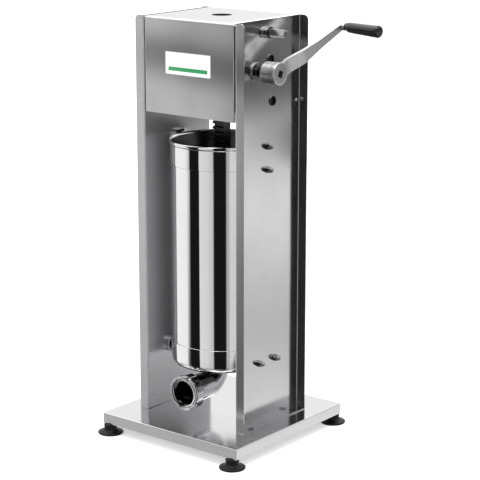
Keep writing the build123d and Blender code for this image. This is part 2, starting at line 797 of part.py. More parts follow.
# Rack: its tooth spaces are centred on the pinion's tooth at rest
pitch = pi * rack_module
pitch_line = drive_y + pinion_radius
tip_line = pitch_line - rack_addendum
root_line = pitch_line + rack_dedendum
with BuildPart() as rack:
    with BuildSketch(Plane.YZ.offset(-rack_half_width)):
        with Locations(((tip_line + rack_back) / 2, (piston_top + rack_top) / 2)):
            Rectangle(rack_back - tip_line, rack_top - piston_top)
    extrude(amount=2 * rack_half_width)
    chamfer(rack.faces().sort_by(Axis.Z)[-1].edges(), 1.2)
    with BuildSketch(Plane.YZ.offset(-rack_half_width)) as spaces:
        lowest = -int((drive_z - rack_teeth_from) / pitch)
        highest = int((rack_top - drive_z) / pitch) + 1
        half_open = pitch / 4 + tooth_thinning
        slope = sin(pressure_angle) / cos(pressure_angle)
        for number in range(lowest, highest + 1):
            middle = drive_z + number * pitch
            mouth = half_open + (rack_addendum + 1) * slope
            floor = half_open - rack_dedendum * slope
            with BuildLine():
                Polyline(
                    (tip_line - 1, middle - mouth),
                    (root_line, middle - floor),
                    (root_line, middle + floor),
                    (tip_line - 1, middle + mouth),
                    close=True,
                )
            make_face()
    extrude(amount=2 * rack_half_width, mode=Mode.SUBTRACT)
    with BuildSketch(Plane.XY.offset(piston_top)):
        Circle(spigot_radius)
    extrude(amount=-piston_height + 8)
rack.part.label = "rack"
export_step(rack.part, "parts/rack.step")

# Piston, with a groove for its seal, a recess for its nut and a seat for the air valve
with BuildPart() as piston:
    with BuildSketch(Plane.XZ):
        with BuildLine():
            Polyline(
                (0, piston_bottom),
                (piston_radius - 5, piston_bottom),
                (piston_radius, piston_bottom + 5),
                (piston_radius, piston_bottom + 12),
                (piston_radius - 6, piston_bottom + 12),
                (piston_radius - 6, piston_bottom + 24),
                (piston_radius, piston_bottom + 24),
                (piston_radius, piston_top - 2),
                (piston_radius - 2, piston_top),
                (0, piston_top),
                close=True,
            )
        make_face()
    revolve(axis=Axis.Z)
    with BuildSketch(Plane.XY.offset(piston_bottom)):
        Circle(spigot_radius + running)
        with Locations((valve_x, 0)):
            Circle(5 + running)
    extrude(amount=piston_height, mode=Mode.SUBTRACT)
    with BuildSketch(Plane.XY.offset(piston_bottom)):
        Circle(20)
    extrude(amount=16, mode=Mode.SUBTRACT)
    with BuildSketch(Plane.XY.offset(piston_bottom)):
        with Locations((valve_x, 0)):
            Circle(14.5)
    extrude(amount=valve_lift, mode=Mode.SUBTRACT)
piston.part.label = "piston"
export_step(piston.part, "parts/piston.step")

with BuildPart() as piston_seal:
    with BuildSketch(Plane.XZ):
        with BuildLine():
            Polyline(
                (piston_radius - 5.9, piston_bottom + 12.1),
                (piston_radius, piston_bottom + 12.1),
                (bore_radius - 0.1, piston_bottom + 14),
                (bore_radius - 0.1, piston_bottom + 22),
                (piston_radius, piston_bottom + 23.9),
                (piston_radius - 5.9, piston_bottom + 23.9),
                close=True,
            )
        make_face()
    revolve(axis=Axis.Z)
piston_seal.part.label = "piston_seal"
export_step(piston_seal.part, "parts/piston_seal.step")

with BuildPart() as piston_nut:
    with BuildSketch(Plane.XY.offset(piston_bottom + 2)):
        RegularPolygon(17.3, 6, major_radius=True)
    extrude(amount=14)
    with BuildSketch(Plane.XY.offset(piston_bottom + 7.9)):
        Circle(spigot_radius + running)
    extrude(amount=8.1, mode=Mode.SUBTRACT)
    fillet(piston_nut.faces().sort_by(Axis.Z)[0].edges(), 1.5)
piston_nut.part.label = "piston_nut"
export_step(piston_nut.part, "parts/piston_nut.step")

# Air valve: hangs open under its own weight until meat lifts it shut
with BuildPart() as valve_poppet:
    with BuildSketch(Plane.XY.offset(piston_bottom - valve_lift)):
        with Locations((valve_x, 0)):
            Circle(14)
    extrude(amount=valve_lift)
    with BuildSketch(Plane.XY.offset(piston_bottom)):
        with Locations((valve_x, 0)):
            Circle(5)
    extrude(amount=piston_height)
    with BuildSketch(Plane.XY.offset(piston_top)):
        with Locations((valve_x, 0)):
            Circle(8)
    extrude(amount=3)
valve_poppet.part.label = "valve_poppet"
export_step(valve_poppet.part, "parts/valve_poppet.step")

# Cylinder: spun shell with a rolled rim and a band at each end
with BuildPart() as cylinder:
    with BuildSketch(Plane.XZ) as wall:
        with BuildLine():
            inner_round = bottom_round - sheet
            Line((0, cylinder_bottom), (band_radius - bottom_round, cylinder_bottom))
            RadiusArc(
                (band_radius - bottom_round, cylinder_bottom),
                (band_radius, cylinder_bottom + bottom_round),
                -bottom_round,
            )
            Polyline(
                (band_radius, cylinder_bottom + bottom_round),
                (band_radius, lower_seam),
                (wall_radius, lower_seam),
                (wall_radius, upper_seam),
                (band_radius, upper_seam),
                (band_radius, rim_bottom),
                (rim_radius - 1.5, rim_bottom),
            )
            ThreePointArc(
                (rim_radius - 1.5, rim_bottom),
                (rim_radius, (rim_bottom + rim_top) / 2),
                (rim_radius - 1.5, rim_top),
            )
            Polyline(
                (rim_radius - 1.5, rim_top),
                (bore_radius + rim_flare, rim_top),
                (bore_radius, rim_top - 2 * rim_flare),
                (bore_radius, cylinder_bottom + bottom_round),
            )
            RadiusArc(
                (bore_radius, cylinder_bottom + bottom_round),
                (bore_radius - inner_round, cylinder_bottom + sheet),
                inner_round,
            )
            Polyline(
                (bore_radius - inner_round, cylinder_bottom + sheet),
                (0, cylinder_bottom + sheet),
                (0, cylinder_bottom),
            )
        make_face()
    revolve(axis=Axis.Z)
    with BuildSketch(Plane.XY.offset(cylinder_bottom)):
        with Locations((0, outlet_drop_y)):
            Circle(outlet_bore)
    extrude(amount=sheet, mode=Mode.SUBTRACT)
cylinder.part.label = "cylinder"
export_step(cylinder.part, "parts/cylinder.step")

# Outlet: a bend from the cylinder's floor to the front
bend_y = outlet_drop_y - outlet_bend
bend_z = outlet_z + outlet_bend
with BuildPart() as outlet_elbow:
    with BuildLine() as pipe_run:
        Line((0, outlet_drop_y, cylinder_bottom), (0, outlet_drop_y, bend_z))
        ThreePointArc(
            (0, outlet_drop_y, bend_z),
            (0, bend_y + outlet_bend * cos(pi / 4), bend_z - outlet_bend * sin(pi / 4)),
            (0, bend_y, outlet_z),
        )
        Line((0, bend_y, outlet_z), (0, ferrule_back, outlet_z))
    with BuildSketch(Plane.XY.offset(cylinder_bottom)):
        with Locations((0, outlet_drop_y)):
            Circle(outlet_radius)
            Circle(outlet_bore, mode=Mode.SUBTRACT)
    sweep(path=pipe_run.wires()[0])
outlet_elbow.part.label = "outlet_elbow"
export_step(outlet_elbow.part, "parts/outlet_elbow.step")

# Threaded ferrule on the pipe's end, its thread as rings
with BuildPart() as outlet_ferrule:
    with BuildSketch(Plane.XZ.offset(-ferrule_back)):
        with Locations((0, outlet_z)):
            Circle(thread_radius - 1.2)
            Circle(outlet_bore, mode=Mode.SUBTRACT)
    extrude(amount=ferrule_back - ferrule_front)
    for turn in range(4):
        with BuildSketch(Plane.XZ.offset(-ferrule_back + 6 + 5 * turn)):
            with Locations((0, outlet_z)):
                Circle(thread_radius)
                Circle(thread_radius - 2, mode=Mode.SUBTRACT)
        extrude(amount=2.5)
outlet_ferrule.part.label = "outlet_ferrule"
export_step(outlet_ferrule.part, "parts/outlet_ferrule.step")

# Ring nut that clamps a filling tube to the outlet
with BuildPart() as ring_nut:
    with BuildSketch(Plane.XZ.offset(-nut_back)):
        with Locations((0, outlet_z)):
            Circle(nut_radius - 1.8)
    extrude(amount=nut_back - nut_front)
    with BuildSketch(Plane.XZ.offset(-nut_front - nut_collar)):
        with Locations((0, outlet_z)):
            Circle(nut_radius)
    extrude(amount=nut_collar)
    chamfer(ring_nut.faces().sort_by(Axis.Y)[0].edges(), 1.5)
    with BuildSketch(Plane.XZ.offset(-nut_back)):
        with Locations((0, outlet_z)):
            with PolarLocations(nut_radius - 2.2, nut_lugs, start_angle=20):
                Rectangle(6, 13)
    extrude(amount=nut_back - nut_front - nut_collar)
    with BuildSketch(Plane.XZ.offset(-nut_back)):
        with Locations((0, outlet_z)):
            Circle(thread_radius + 0.35)
    extrude(amount=nut_back - ferrule_front + 0.5, mode=Mode.SUBTRACT)
    with BuildSketch(Plane.XZ.offset(-nut_back)):
        with Locations((0, outlet_z)):
            Circle(nut_bore)
    extrude(amount=nut_back - nut_front, mode=Mode.SUBTRACT)
ring_nut.part.label = "ring_nut"
export_step(ring_nut.part, "parts/ring_nut.step")

# Trunnions and upper studs, welded to the cylinder
with BuildPart() as right_trunnion:
    with BuildSketch(Plane.YZ.offset(100)):
        with Locations((cradle_y, trunnion_z)):
            Circle(trunnion_radius)
    extrude(amount=inside_half - 1 - 100)
    with BuildSketch(Plane.XY.offset(cylinder_bottom)):
        Circle(band_radius + 0.02)
    extrude(amount=lower_seam - cylinder_bottom, mode=Mode.SUBTRACT)
trunnions = both_sides(right_trunnion)
trunnions.part.label = "trunnions"
export_step(trunnions.part, "parts/trunnions.step")

with BuildPart() as right_stud:
    with BuildSketch(Plane.YZ.offset(100)):
        with Locations((cradle_y, catch_z)):
            Circle(stud_radius)
    extrude(amount=inside_half - 1 - 100)
    with BuildSketch(Plane.XY.offset(upper_seam)):
        Circle(band_radius + 0.02)
    extrude(amount=rim_bottom - upper_seam, mode=Mode.SUBTRACT)
catch_studs = both_sides(right_stud)
catch_studs.part.label = "catch_studs"
export_step(catch_studs.part, "parts/catch_studs.step")

# Cradle discs that the trunnions lie between
with BuildPart() as right_discs:
    with BuildSketch(Plane.YZ.offset(disc_inner)):
        with Locations(*CRADLE_SPOTS):
            Circle(disc_radius)
            Circle(bolt_radius + running, mode=Mode.SUBTRACT)
    extrude(amount=inside_half - disc_inner)
    inner_circles = right_discs.edges().filter_by(GeomType.CIRCLE).group_by(Axis.X)[0]
    fillet(inner_circles.sort_by(SortBy.RADIUS)[-2:], 1)
    with BuildSketch(Plane.YZ.offset(disc_inner)):
        with Locations(*CRADLE_SPOTS):
            Circle(counterbore_radius)
    extrude(amount=6, mode=Mode.SUBTRACT)
cradle_discs = both_sides(right_discs)
cradle_discs.part.label = "cradle_discs"
export_step(cradle_discs.part, "parts/cradle_discs.step")

# Slotted catches that the upper studs swing into from the front
with BuildPart() as catch_right:
    with BuildSketch(Plane.YZ.offset(catch_inner)) as pad:
        with Locations((cradle_y, catch_z)):
            RectangleRounded(catch_width, catch_length, 4)
            Circle(stud_radius + bolt_play, mode=Mode.SUBTRACT)
        with Locations((cradle_y - catch_width / 2, catch_z)):
            Rectangle(catch_width, 2 * (stud_radius + bolt_play), mode=Mode.SUBTRACT)
    extrude(amount=inside_half - catch_inner)
    with BuildSketch(Plane.YZ.offset(catch_inner)):
        with Locations(*CATCH_SPOTS):
            Circle(bolt_radius + running)
    extrude(amount=inside_half - catch_inner, mode=Mode.SUBTRACT)
    with BuildSketch(Plane.YZ.offset(catch_inner)):
        with Locations(*CATCH_SPOTS):
            Circle(counterbore_radius)
    extrude(amount=5, mode=Mode.SUBTRACT)
catch_right.part.label = "catch_right"
export_step(catch_right.part, "parts/catch_right.step")

catch_left = other_side(catch_right)
catch_left.part.label = "catch_left"
export_step(catch_left.part, "parts/catch_left.step")


def panel_bolts(spots, head_start, head_length):
    """Cap screws from inside the cabinet, out through the side panel."""
    with BuildPart() as screws:
        for spot in spots:
            with BuildSketch(Plane.YZ.offset(head_start)):
                with Locations(spot):
                    Circle(bolt_head_radius)
            extrude(amount=head_length)
            with BuildSketch(Plane.YZ.offset(head_start)):
                with Locations(spot):
                    Circle(bolt_radius)
            extrude(amount=panel_face + bolt_tail - head_start)
            with BuildSketch(Plane.YZ.offset(head_start)):
                with Locations(spot):
                    RegularPolygon(hex_socket, 6, major_radius=True)
            extrude(amount=hex_socket_depth, mode=Mode.SUBTRACT)
    return both_sides(screws)


def acorn_nuts(spots):
    """Domed nuts and washers on the outside of the side panel."""
    with BuildPart() as nuts:
        for spot in spots:
            with BuildSketch(Plane.YZ.offset(panel_face)):
                with Locations(spot):
                    Circle(acorn_washer_radius)
            extrude(amount=acorn_washer)
            with BuildSketch(Plane.YZ.offset(panel_face + acorn_washer)):
                with Locations(spot):
                    RegularPolygon(acorn_corner, 6, major_radius=True)
            extrude(amount=acorn_hex)
            with BuildSketch(Plane.YZ.offset(panel_face + acorn_washer + acorn_hex)):
                with Locations(spot):
                    Circle(acorn_dome_radius)
            extrude(amount=acorn_dome)
        fillet(nuts.edges().filter_by(GeomType.CIRCLE).group_by(Axis.X)[-1], 4.5)
        with BuildSketch(Plane.YZ.offset(panel_face)):
            with Locations(*spots):
                Circle(bolt_radius + running)
        extrude(amount=bolt_tail + 0.5, mode=Mode.SUBTRACT)
    return both_sides(nuts)


cradle_bolts = panel_bolts(CRADLE_SPOTS, disc_inner + 0.5, 5.4)
cradle_bolts.part.label = "cradle_bolts"
export_step(cradle_bolts.part, "parts/cradle_bolts.step")

cradle_nuts = acorn_nuts(CRADLE_SPOTS)
cradle_nuts.part.label = "cradle_nuts"
export_step(cradle_nuts.part, "parts/cradle_nuts.step")

catch_bolts = panel_bolts(CATCH_SPOTS, catch_inner + 0.5, 4.4)
catch_bolts.part.label = "catch_bolts"
export_step(catch_bolts.part, "parts/catch_bolts.step")

catch_nuts = acorn_nuts(CATCH_SPOTS)
catch_nuts.part.label = "catch_nuts"
export_step(catch_nuts.part, "parts/catch_nuts.step")

# Crank hub, with a square hole right through it and a shallow groove round it
with BuildPart() as crank_hub:
    with BuildSketch(Plane.YZ.offset(hub_inner)):
        with Locations(drive_axis):
            Circle(hub_radius)
    extrude(amount=hub_length)
    fillet(crank_hub.edges().filter_by(GeomType.CIRCLE).sort_by(Axis.X)[0], 3.5)
    chamfer(crank_hub.edges().filter_by(GeomType.CIRCLE).sort_by(Axis.X)[-1], 1.2)
    with BuildSketch(Plane.YZ.offset(hub_groove)):
        with Locations(drive_axis):
            Circle(hub_radius + 1)
            Circle(hub_radius - 0.8, mode=Mode.SUBTRACT)
    extrude(amount=1.6, mode=Mode.SUBTRACT)
    with BuildSketch(Plane.YZ.offset(hub_inner)):
        with Locations(drive_axis):
            Rectangle(square + 0.16, square + 0.16, rotation=square_turn)
    extrude(amount=hub_length, mode=Mode.SUBTRACT)
crank_hub.part.label = "crank_hub"
export_step(crank_hub.part, "parts/crank_hub.step")

# Crank arm: a tapering flat bar, set out from the hub by a double bend
side_view = Plane(origin=crank_centre, x_dir=arm_along, z_dir=arm_along.cross(Vector(1, 0, 0)))
face_view = Plane(origin=crank_centre, x_dir=arm_along, z_dir=Vector(1, 0, 0))
with BuildPart() as crank_arm:
    with BuildSketch(side_view):
        with BuildLine() as arm_line:
            FilletPolyline(
                (0, arm_root_x),
                (38, arm_root_x),
                (80, arm_offset_x),
                (arm_throw + 12, arm_end_x + 12 * sin(arm_lean)),
                radius=40,
            )
        trace(line_width=arm_thickness)
    extrude(amount=40, both=True)
    with BuildSketch(face_view):
        with BuildLine():
            Polyline((10, -17), (40, -16.5), (70, -16), (130, -10.5), (arm_throw, -7.5))
            ThreePointArc((arm_throw, -7.5), (arm_throw + 7.5, 0), (arm_throw, 7.5))
            Polyline((arm_throw, 7.5), (130, 10.5), (70, 16), (40, 16.5), (10, 17), (10, -17))
        make_face()
        Circle(hub_radius + 0.02, mode=Mode.SUBTRACT)
    extrude(amount=300, mode=Mode.INTERSECT)
    with BuildSketch(Plane(origin=pin_root - pin_way * 20, z_dir=pin_way)):
        Circle(pin_radius + running)
    extrude(amount=40, mode=Mode.SUBTRACT)
crank_arm.part.label = "crank_arm"
export_step(crank_arm.part, "parts/crank_arm.step")

# Pin: a rivet head behind the arm, a collar in front of it and the spindle in the grip
grip_plane = Plane(origin=pin_root, x_dir=pin_way, z_dir=pin_way.cross(arm_side))
grip_start = arm_thickness / 2 + pin_collar
with BuildPart() as grip_pin:
    with BuildSketch(grip_plane):
        with BuildLine():
            Polyline(
                (-arm_thickness / 2 - 3, 0),
                (-arm_thickness / 2 - 3, pin_radius + 1),
                (-arm_thickness / 2 - 0.1, pin_radius + 3),
                (-arm_thickness / 2 - 0.1, pin_radius),
                (arm_thickness / 2 + 0.1, pin_radius),
                (arm_thickness / 2 + 0.1, pin_radius + 4),
                (grip_start - 0.3, pin_radius + 4),
                (grip_start - 0.3, pin_radius),
                (grip_start + grip_length - 10, pin_radius),
                (grip_start + grip_length - 10, 0),
                close=True,
            )
        make_face()
    revolve(axis=Axis(pin_root, pin_way))
grip_pin.part.label = "grip_pin"
export_step(grip_pin.part, "parts/grip_pin.step")

# Grip: turned, a little thicker towards its free end
with BuildPart() as grip:
    with BuildSketch(grip_plane) as grip_profile:
        grip_end = grip_start + grip_length
        with BuildLine():
            Polyline(
                (grip_start, pin_radius + running),
                (grip_start, pin_radius + 2.5),
                (grip_start + grip_neck / 2, grip_small - 2),
                (grip_start + grip_neck, grip_small),
                (grip_end - 5, grip_large),
            )
            ThreePointArc(
                (grip_end - 5, grip_large),
                (grip_end - 1.4, grip_large - 1.6),
                (grip_end, grip_large - 5),
            )
            Polyline(
                (grip_end, grip_large - 5),
                (grip_end, 0),
                (grip_end - 9, 0),
                (grip_end - 9, pin_radius + running),
                (grip_start, pin_radius + running),
            )
        make_face()
    revolve(axis=Axis(pin_root, pin_way))
grip.part.label = "grip"
export_step(grip.part, "parts/grip.step")
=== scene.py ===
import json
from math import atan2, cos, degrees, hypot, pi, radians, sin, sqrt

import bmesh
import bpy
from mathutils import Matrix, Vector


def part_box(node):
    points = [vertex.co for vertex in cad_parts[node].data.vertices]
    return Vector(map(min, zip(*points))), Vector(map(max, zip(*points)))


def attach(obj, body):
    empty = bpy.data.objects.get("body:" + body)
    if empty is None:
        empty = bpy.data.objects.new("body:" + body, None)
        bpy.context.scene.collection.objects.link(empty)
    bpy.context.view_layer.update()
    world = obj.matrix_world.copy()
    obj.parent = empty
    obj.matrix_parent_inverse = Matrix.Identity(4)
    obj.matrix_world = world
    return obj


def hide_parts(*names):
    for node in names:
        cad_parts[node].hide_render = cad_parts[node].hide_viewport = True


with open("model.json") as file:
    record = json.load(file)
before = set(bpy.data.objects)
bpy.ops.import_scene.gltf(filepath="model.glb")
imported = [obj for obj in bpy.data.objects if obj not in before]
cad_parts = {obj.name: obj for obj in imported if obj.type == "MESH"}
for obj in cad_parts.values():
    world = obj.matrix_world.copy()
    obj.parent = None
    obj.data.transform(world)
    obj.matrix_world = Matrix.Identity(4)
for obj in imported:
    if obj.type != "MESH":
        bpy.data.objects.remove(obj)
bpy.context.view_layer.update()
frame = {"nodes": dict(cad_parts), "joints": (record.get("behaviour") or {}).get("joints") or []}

# %% [markdown]
# # A hand-cranked sausage stuffer
# The machine comes in as a ready frame: every plate, shaft, gear and bolt is a mesh that already
# stands in its place, in metres, and rides on the body it moves with. This lesson gives it its
# surfaces, and rebuilds the pieces whose plain shapes would look too simple: the polished
# cylinder, the outlet with its ring nut, the feet, the nuts and bolts, the crank and its grip.

nodes = frame["nodes"]
scene = bpy.context.scene


def middle(node):
    """The centre of a node's box."""
    low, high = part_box(node)
    return (low + high) / 2


# %% [markdown]
# ## The camera
# A tall machine looks best through a long lens from well back, because its upright edges then
# stay almost parallel. The camera stands to the right of the front, a little above the top, and
# looks slightly down, so that the front, the right side and the base's top all show.

# %% Camera
lens_mm = 128.6
eye = Vector((2.4257, -2.9831, 1.4039))
aim = Vector((0.0320, 0.0255, 0.4568))
camera_data = bpy.data.cameras.new("studio_camera")
camera_data.lens = lens_mm
camera_data.sensor_width = 36.0
camera_data.clip_end = 100.0
camera = bpy.data.objects.new("studio_camera", camera_data)
camera.location = eye
camera.rotation_mode = "QUATERNION"
camera.rotation_quaternion = (aim - eye).to_track_quat("-Z", "Y")
scene.collection.objects.link(camera)
scene.camera = camera
scene.view_settings.view_transform = "Standard"
print("camera", round((aim - eye).length, 2), "m from its aim")

# %% [markdown]
# ## The studio
# Polished steel has hardly any colour of its own: what is seen in it is the room. A studio
# that lights steel pots hangs white cloth all round with narrow black flags between, and the flags
# turn into the dark stripes that make a cylinder look round. Here the room is the world's own
# shading, a function of direction: the compass angle and the height above the horizon. Rough
# surfaces get plain white light instead, which keeps the picture free of noise, and the camera
# sees plain white.

# %% Helpers for node trees
def link(tree, source, target):
    tree.links.new(source, target)


def maths(tree, operation, a, b=None, c=None, clamp=False):
    """A Math node. Each input is a number or a socket; the answer is its output socket."""
    node = tree.nodes.new("ShaderNodeMath")
    node.operation = operation
    node.use_clamp = clamp
    for place, value in enumerate((a, b, c)):
        if value is None:
            continue
        if isinstance(value, (int, float)):
            node.inputs[place].default_value = value
        else:
            link(tree, value, node.inputs[place])
    return node.outputs[0]


def ramp(tree, fac, stops, smooth=False):
    """A Color Ramp node with grey stops (place, brightness)."""
    node = tree.nodes.new("ShaderNodeValToRGB")
    band = node.color_ramp
    band.interpolation = "EASE" if smooth else "LINEAR"
    while len(band.elements) < len(stops):
        band.elements.new(1.0)
    for element, (place, value) in zip(band.elements, stops):
        element.position = place
        element.color = (value, value, value, 1)
    link(tree, fac, node.inputs["Fac"])
    return node.outputs["Color"]


def blend_numbers(tree, fac, a, b):
    """a where fac is 0, b where it is 1."""
    return maths(tree, "ADD", maths(tree, "MULTIPLY", a, maths(tree, "SUBTRACT", 1.0, fac)),
                 maths(tree, "MULTIPLY", b, fac))


# %% The room that the steel mirrors
def compass(stops):
    """Ramp places from compass angles: 0 is the front, 90 the right side, -90 the left."""
    return [((angle + 180) / 360, value) for angle, value in stops]


world = bpy.data.worlds.new("white_room_with_flags")
scene.world = world
world.use_nodes = True
room = world.node_tree
room.nodes.clear()
direction = room.nodes.new("ShaderNodeTexCoord").outputs["Generated"]
split = room.nodes.new("ShaderNodeSeparateXYZ")
link(room, direction, split.inputs[0])
backwards = maths(room, "MULTIPLY", split.outputs["Y"], -1.0)
angle = maths(room, "ARCTAN2", split.outputs["X"], backwards)
turn = maths(room, "MULTIPLY_ADD", angle, 1 / (2 * pi), 0.5)
height = split.outputs["Z"]

def ring_of_cloth(front_left, front_edge, right, rear_right, rear, gain=1.0):
    """One height of the room, from the left round to the rear."""
    stops = [
        (-180, rear), (-120, 1.0), (-88, 1.05), (-60, 1.05), (-47, 1.0), (-42.5, front_left),
             (-38, front_edge),
        (-37, 0.01), (-14, 0.01), (-13, 0.85), (4, 0.8), (19, 0.62), (20, 0.01), (47, 0.01), (49, 0.5),
        (80, right), (118, rear_right), (156, rear_right), (170, rear), (180, rear)]
    return compass([(angle, value * gain) for angle, value in stops])


rings_by_height = [
    (-50, (1.0, 1.0, 1.0, 1.0, 1.0, 0.04)),
    (-30, (0.50, 0.20, 0.6, 0.8, 0.9, 0.6)),
    (-20, (0.20, 0.06, 0.6, 1.00, 0.95)),
    (-16.5, (0.45, 0.12, 0.6, 0.40, 0.95)),
    (-13.5, (0.70, 0.30, 0.6, 1.05, 1.0)),
    (-11.0, (0.80, 0.50, 0.5, 0.85, 1.0)),
    (-9.0, (0.80, 0.50, 0.4, 0.26, 1.0)),
    (-6.5, (0.80, 0.40, 0.3, 0.12, 1.0)),
    (-3.0, (0.80, 0.25, 0.2, 0.08, 0.8)),
    (8, (0.50, 0.12, 0.2, 0.40, 0.85)),
    (14, (0.50, 0.12, 0.2, 0.95, 1.05)),
    (35, (0.90, 0.60, 0.6, 0.90, 1.1)),
    (52, (1.0, 0.6, 0.5, 0.5, 1.0, 1.9))]
mirrored = None
for elevation, cloth in rings_by_height:
    here = sin(radians(elevation))
    seen_here = ramp(room, turn, ring_of_cloth(*cloth))
    if mirrored is None:
        mirrored = seen_here
    else:
        gap = here - below
        share = maths(room, "MULTIPLY_ADD", height, 1 / gap, -below / gap, clamp=True)
        mirrored = blend_numbers(room, share, mirrored, seen_here)
    below = here

rays = room.nodes.new("ShaderNodeLightPath")
for_cloth_and_rubber = blend_numbers(room, rays.outputs["Is Diffuse Ray"], mirrored, 1.12)
seen = blend_numbers(room, rays.outputs["Is Camera Ray"], for_cloth_and_rubber, 1.0)
background = room.nodes.new("ShaderNodeBackground")
link(room, seen, background.inputs["Color"])
link(room, background.outputs[0], room.nodes.new("ShaderNodeOutputWorld").inputs["Surface"])
print("room made of", len(room.nodes), "nodes")

# %% [markdown]
# ## Floor and soft lamps
# The floor is a wide pale disc. It takes the soft shadow of the feet, but mirrors don't see it,
# so that the room's own lower half shows in the steel. Two large soft lamps give the rubber and
# the black grip the long highlights that tell the eye they are round.

# %% Floor
floor_mesh = bpy.data.meshes.new("floor")
floor_shape = bmesh.new()
bmesh.ops.create_circle(floor_shape, cap_ends=True, radius=40, segments=96)
floor_shape.to_mesh(floor_mesh)
floor_shape.free()
floor = bpy.data.objects.new("floor", floor_mesh)
scene.collection.objects.link(floor)
floor.visible_glossy = False
pale = bpy.data.materials.new("pale_floor")
pale.use_nodes = True
pale_shader = pale.node_tree.nodes["Principled BSDF"]
pale_shader.inputs["Base Color"].default_value = (0.93, 0.93, 0.93, 1)
pale_shader.inputs["Roughness"].default_value = 0.9
pale_shader.inputs["Specular IOR Level"].default_value = 0.0
pale_shader.inputs["Emission Color"].default_value = (1, 1, 1, 1)
pale_shader.inputs["Emission Strength"].default_value = 0.45
floor_mesh.materials.append(pale)


# %% Lamps
def soft_lamp(name, place, towards, size, watts):
    data = bpy.data.lights.new(name, "AREA")
    data.shape = "RECTANGLE"
    data.size, data.size_y = size
    data.energy = watts
    lamp = bpy.data.objects.new(name, data)
    lamp.location = place
    lamp.rotation_mode = "QUATERNION"
    lamp.rotation_quaternion = (Vector(towards) - Vector(place)).to_track_quat("-Z", "Y")
    scene.collection.objects.link(lamp)
    lamp.visible_glossy = True
    lamp.visible_camera = False
    return lamp


soft_lamp("overhead_lamp", (0.4, -0.6, 3.2), (0, 0, 0.5), (1.6, 1.0), 14)
soft_lamp("rear_lamp", (-1.2, 2.4, 2.6), (0, 0, 0.5), (1.4, 0.8), 10)

# %% [markdown]
# A flat sheet of steel shows one patch of the room, so it needs something of its own to mirror.
# A flag is a dark card on a stand. These fade out towards their edges, which gives the hood and
# the strip of base beside the right panel their dark, soft-edged zones.


# %% Soft flags
def soft_flag(name, place, towards, size, brightness, cover, tilt=0.0, middle_share=0.15):
    """A card that only mirrors see. Its dark middle fades out to nothing at the edges."""
    material = bpy.data.materials.new(name)
    material.use_nodes = True
    tree = material.node_tree
    tree.nodes.clear()
    spot = tree.nodes.new("ShaderNodeTexCoord").outputs["Object"]
    squared = tree.nodes.new("ShaderNodeVectorMath")
    squared.operation = "DOT_PRODUCT"
    link(tree, spot, squared.inputs[0])
    link(tree, spot, squared.inputs[1])
    fading = tree.nodes.new("ShaderNodeMapRange")
    fading.interpolation_type = "SMOOTHSTEP"
    fading.inputs["From Min"].default_value = 1.0
    fading.inputs["From Max"].default_value = middle_share
    fading.inputs["To Max"].default_value = cover
    link(tree, squared.outputs["Value"], fading.inputs["Value"])
    card = tree.nodes.new("ShaderNodeEmission")
    card.inputs["Color"].default_value = (brightness, brightness, brightness, 1)
    mixed = tree.nodes.new("ShaderNodeMixShader")
    link(tree, fading.outputs[0], mixed.inputs[0])
    link(tree, tree.nodes.new("ShaderNodeBsdfTransparent").outputs[0], mixed.inputs[1])
    link(tree, card.outputs[0], mixed.inputs[2])
    link(tree, mixed.outputs[0], tree.nodes.new("ShaderNodeOutputMaterial").inputs["Surface"])
    mesh = bpy.data.meshes.new(name)
    mesh.from_pydata([(-1, -1, 0), (1, -1, 0), (1, 1, 0), (-1, 1, 0)], [], [(0, 1, 2, 3)])
    mesh.materials.append(material)
    flag = bpy.data.objects.new(name, mesh)
    facing = (Vector(towards) - Vector(place)).to_track_quat("Z", "Y").to_matrix().to_4x4()
    flag.matrix_world = (Matrix.Translation(place) @ facing @ Matrix.Rotation(tilt, 4, "Z")
                         @ Matrix.Diagonal((size[0] / 2, size[1] / 2, 1, 1)))
    scene.collection.objects.link(flag)
    flag.visible_camera = False
    flag.visible_diffuse = False
    flag.visible_shadow = False
    return flag


soft_flag("hood_flag", (-0.64, -0.89, 0.742), (0, -0.116, 0.86), (0.60, 0.15), 0.05, 0.85, tilt=radians(14))
soft_flag("base_flag", (1.16, 1.12, 0.60), (0.18, 0, 0.05), (0.50, 0.26), 0.07, 1.0, middle_share=0.7)
soft_flag("rear_flag", (0.555, 0.845, 0.53), (-0.13, 0.05, 0.15), (0.36, 0.22), 0.20, 0.85, middle_share=0.6)
soft_flag("skirt_card", (-0.11, -0.265, 0.001), (-0.11, -0.265, 1.0), (0.80, 0.15), 0.55, 0.9,
          middle_share=0.6)

# %% [markdown]
# ## Effects that several finishes share
# Steel sheet is rolled, then ground or polished, so its marks are fine lines along one way.
# Handling leaves faint cloudy patches. Turned pieces carry rings round their axis. Each of these
# effects is one node group with named inputs, and a material uses it with its own numbers.

# %% Group helper
def new_group(name, inputs, outputs):
    """An empty shader node group. inputs and outputs are (name, kind, value) rows."""
    group = bpy.data.node_groups.new(name, "ShaderNodeTree")
    kinds = {"number": "NodeSocketFloat", "vector": "NodeSocketVector", "colour": "NodeSocketColor"}
    for label, kind, value in inputs:
        socket = group.interface.new_socket(label, in_out="INPUT", socket_type=kinds[kind])
        socket.default_value = value
    for label, kind in outputs:
        group.interface.new_socket(label, in_out="OUTPUT", socket_type=kinds[kind])
    return group, group.nodes.new("NodeGroupInput").outputs, group.nodes.new("NodeGroupOutput").inputs


def noise(tree, vector, scale, detail=2.0, roughness=0.5):
    node = tree.nodes.new("ShaderNodeTexNoise")
    node.inputs["Detail"].default_value = detail
    node.inputs["Roughness"].default_value = roughness
    if isinstance(scale, (int, float)):
        node.inputs["Scale"].default_value = scale
    else:
        link(tree, scale, node.inputs["Scale"])
    link(tree, vector, node.inputs["Vector"])
    return node.outputs["Fac"]


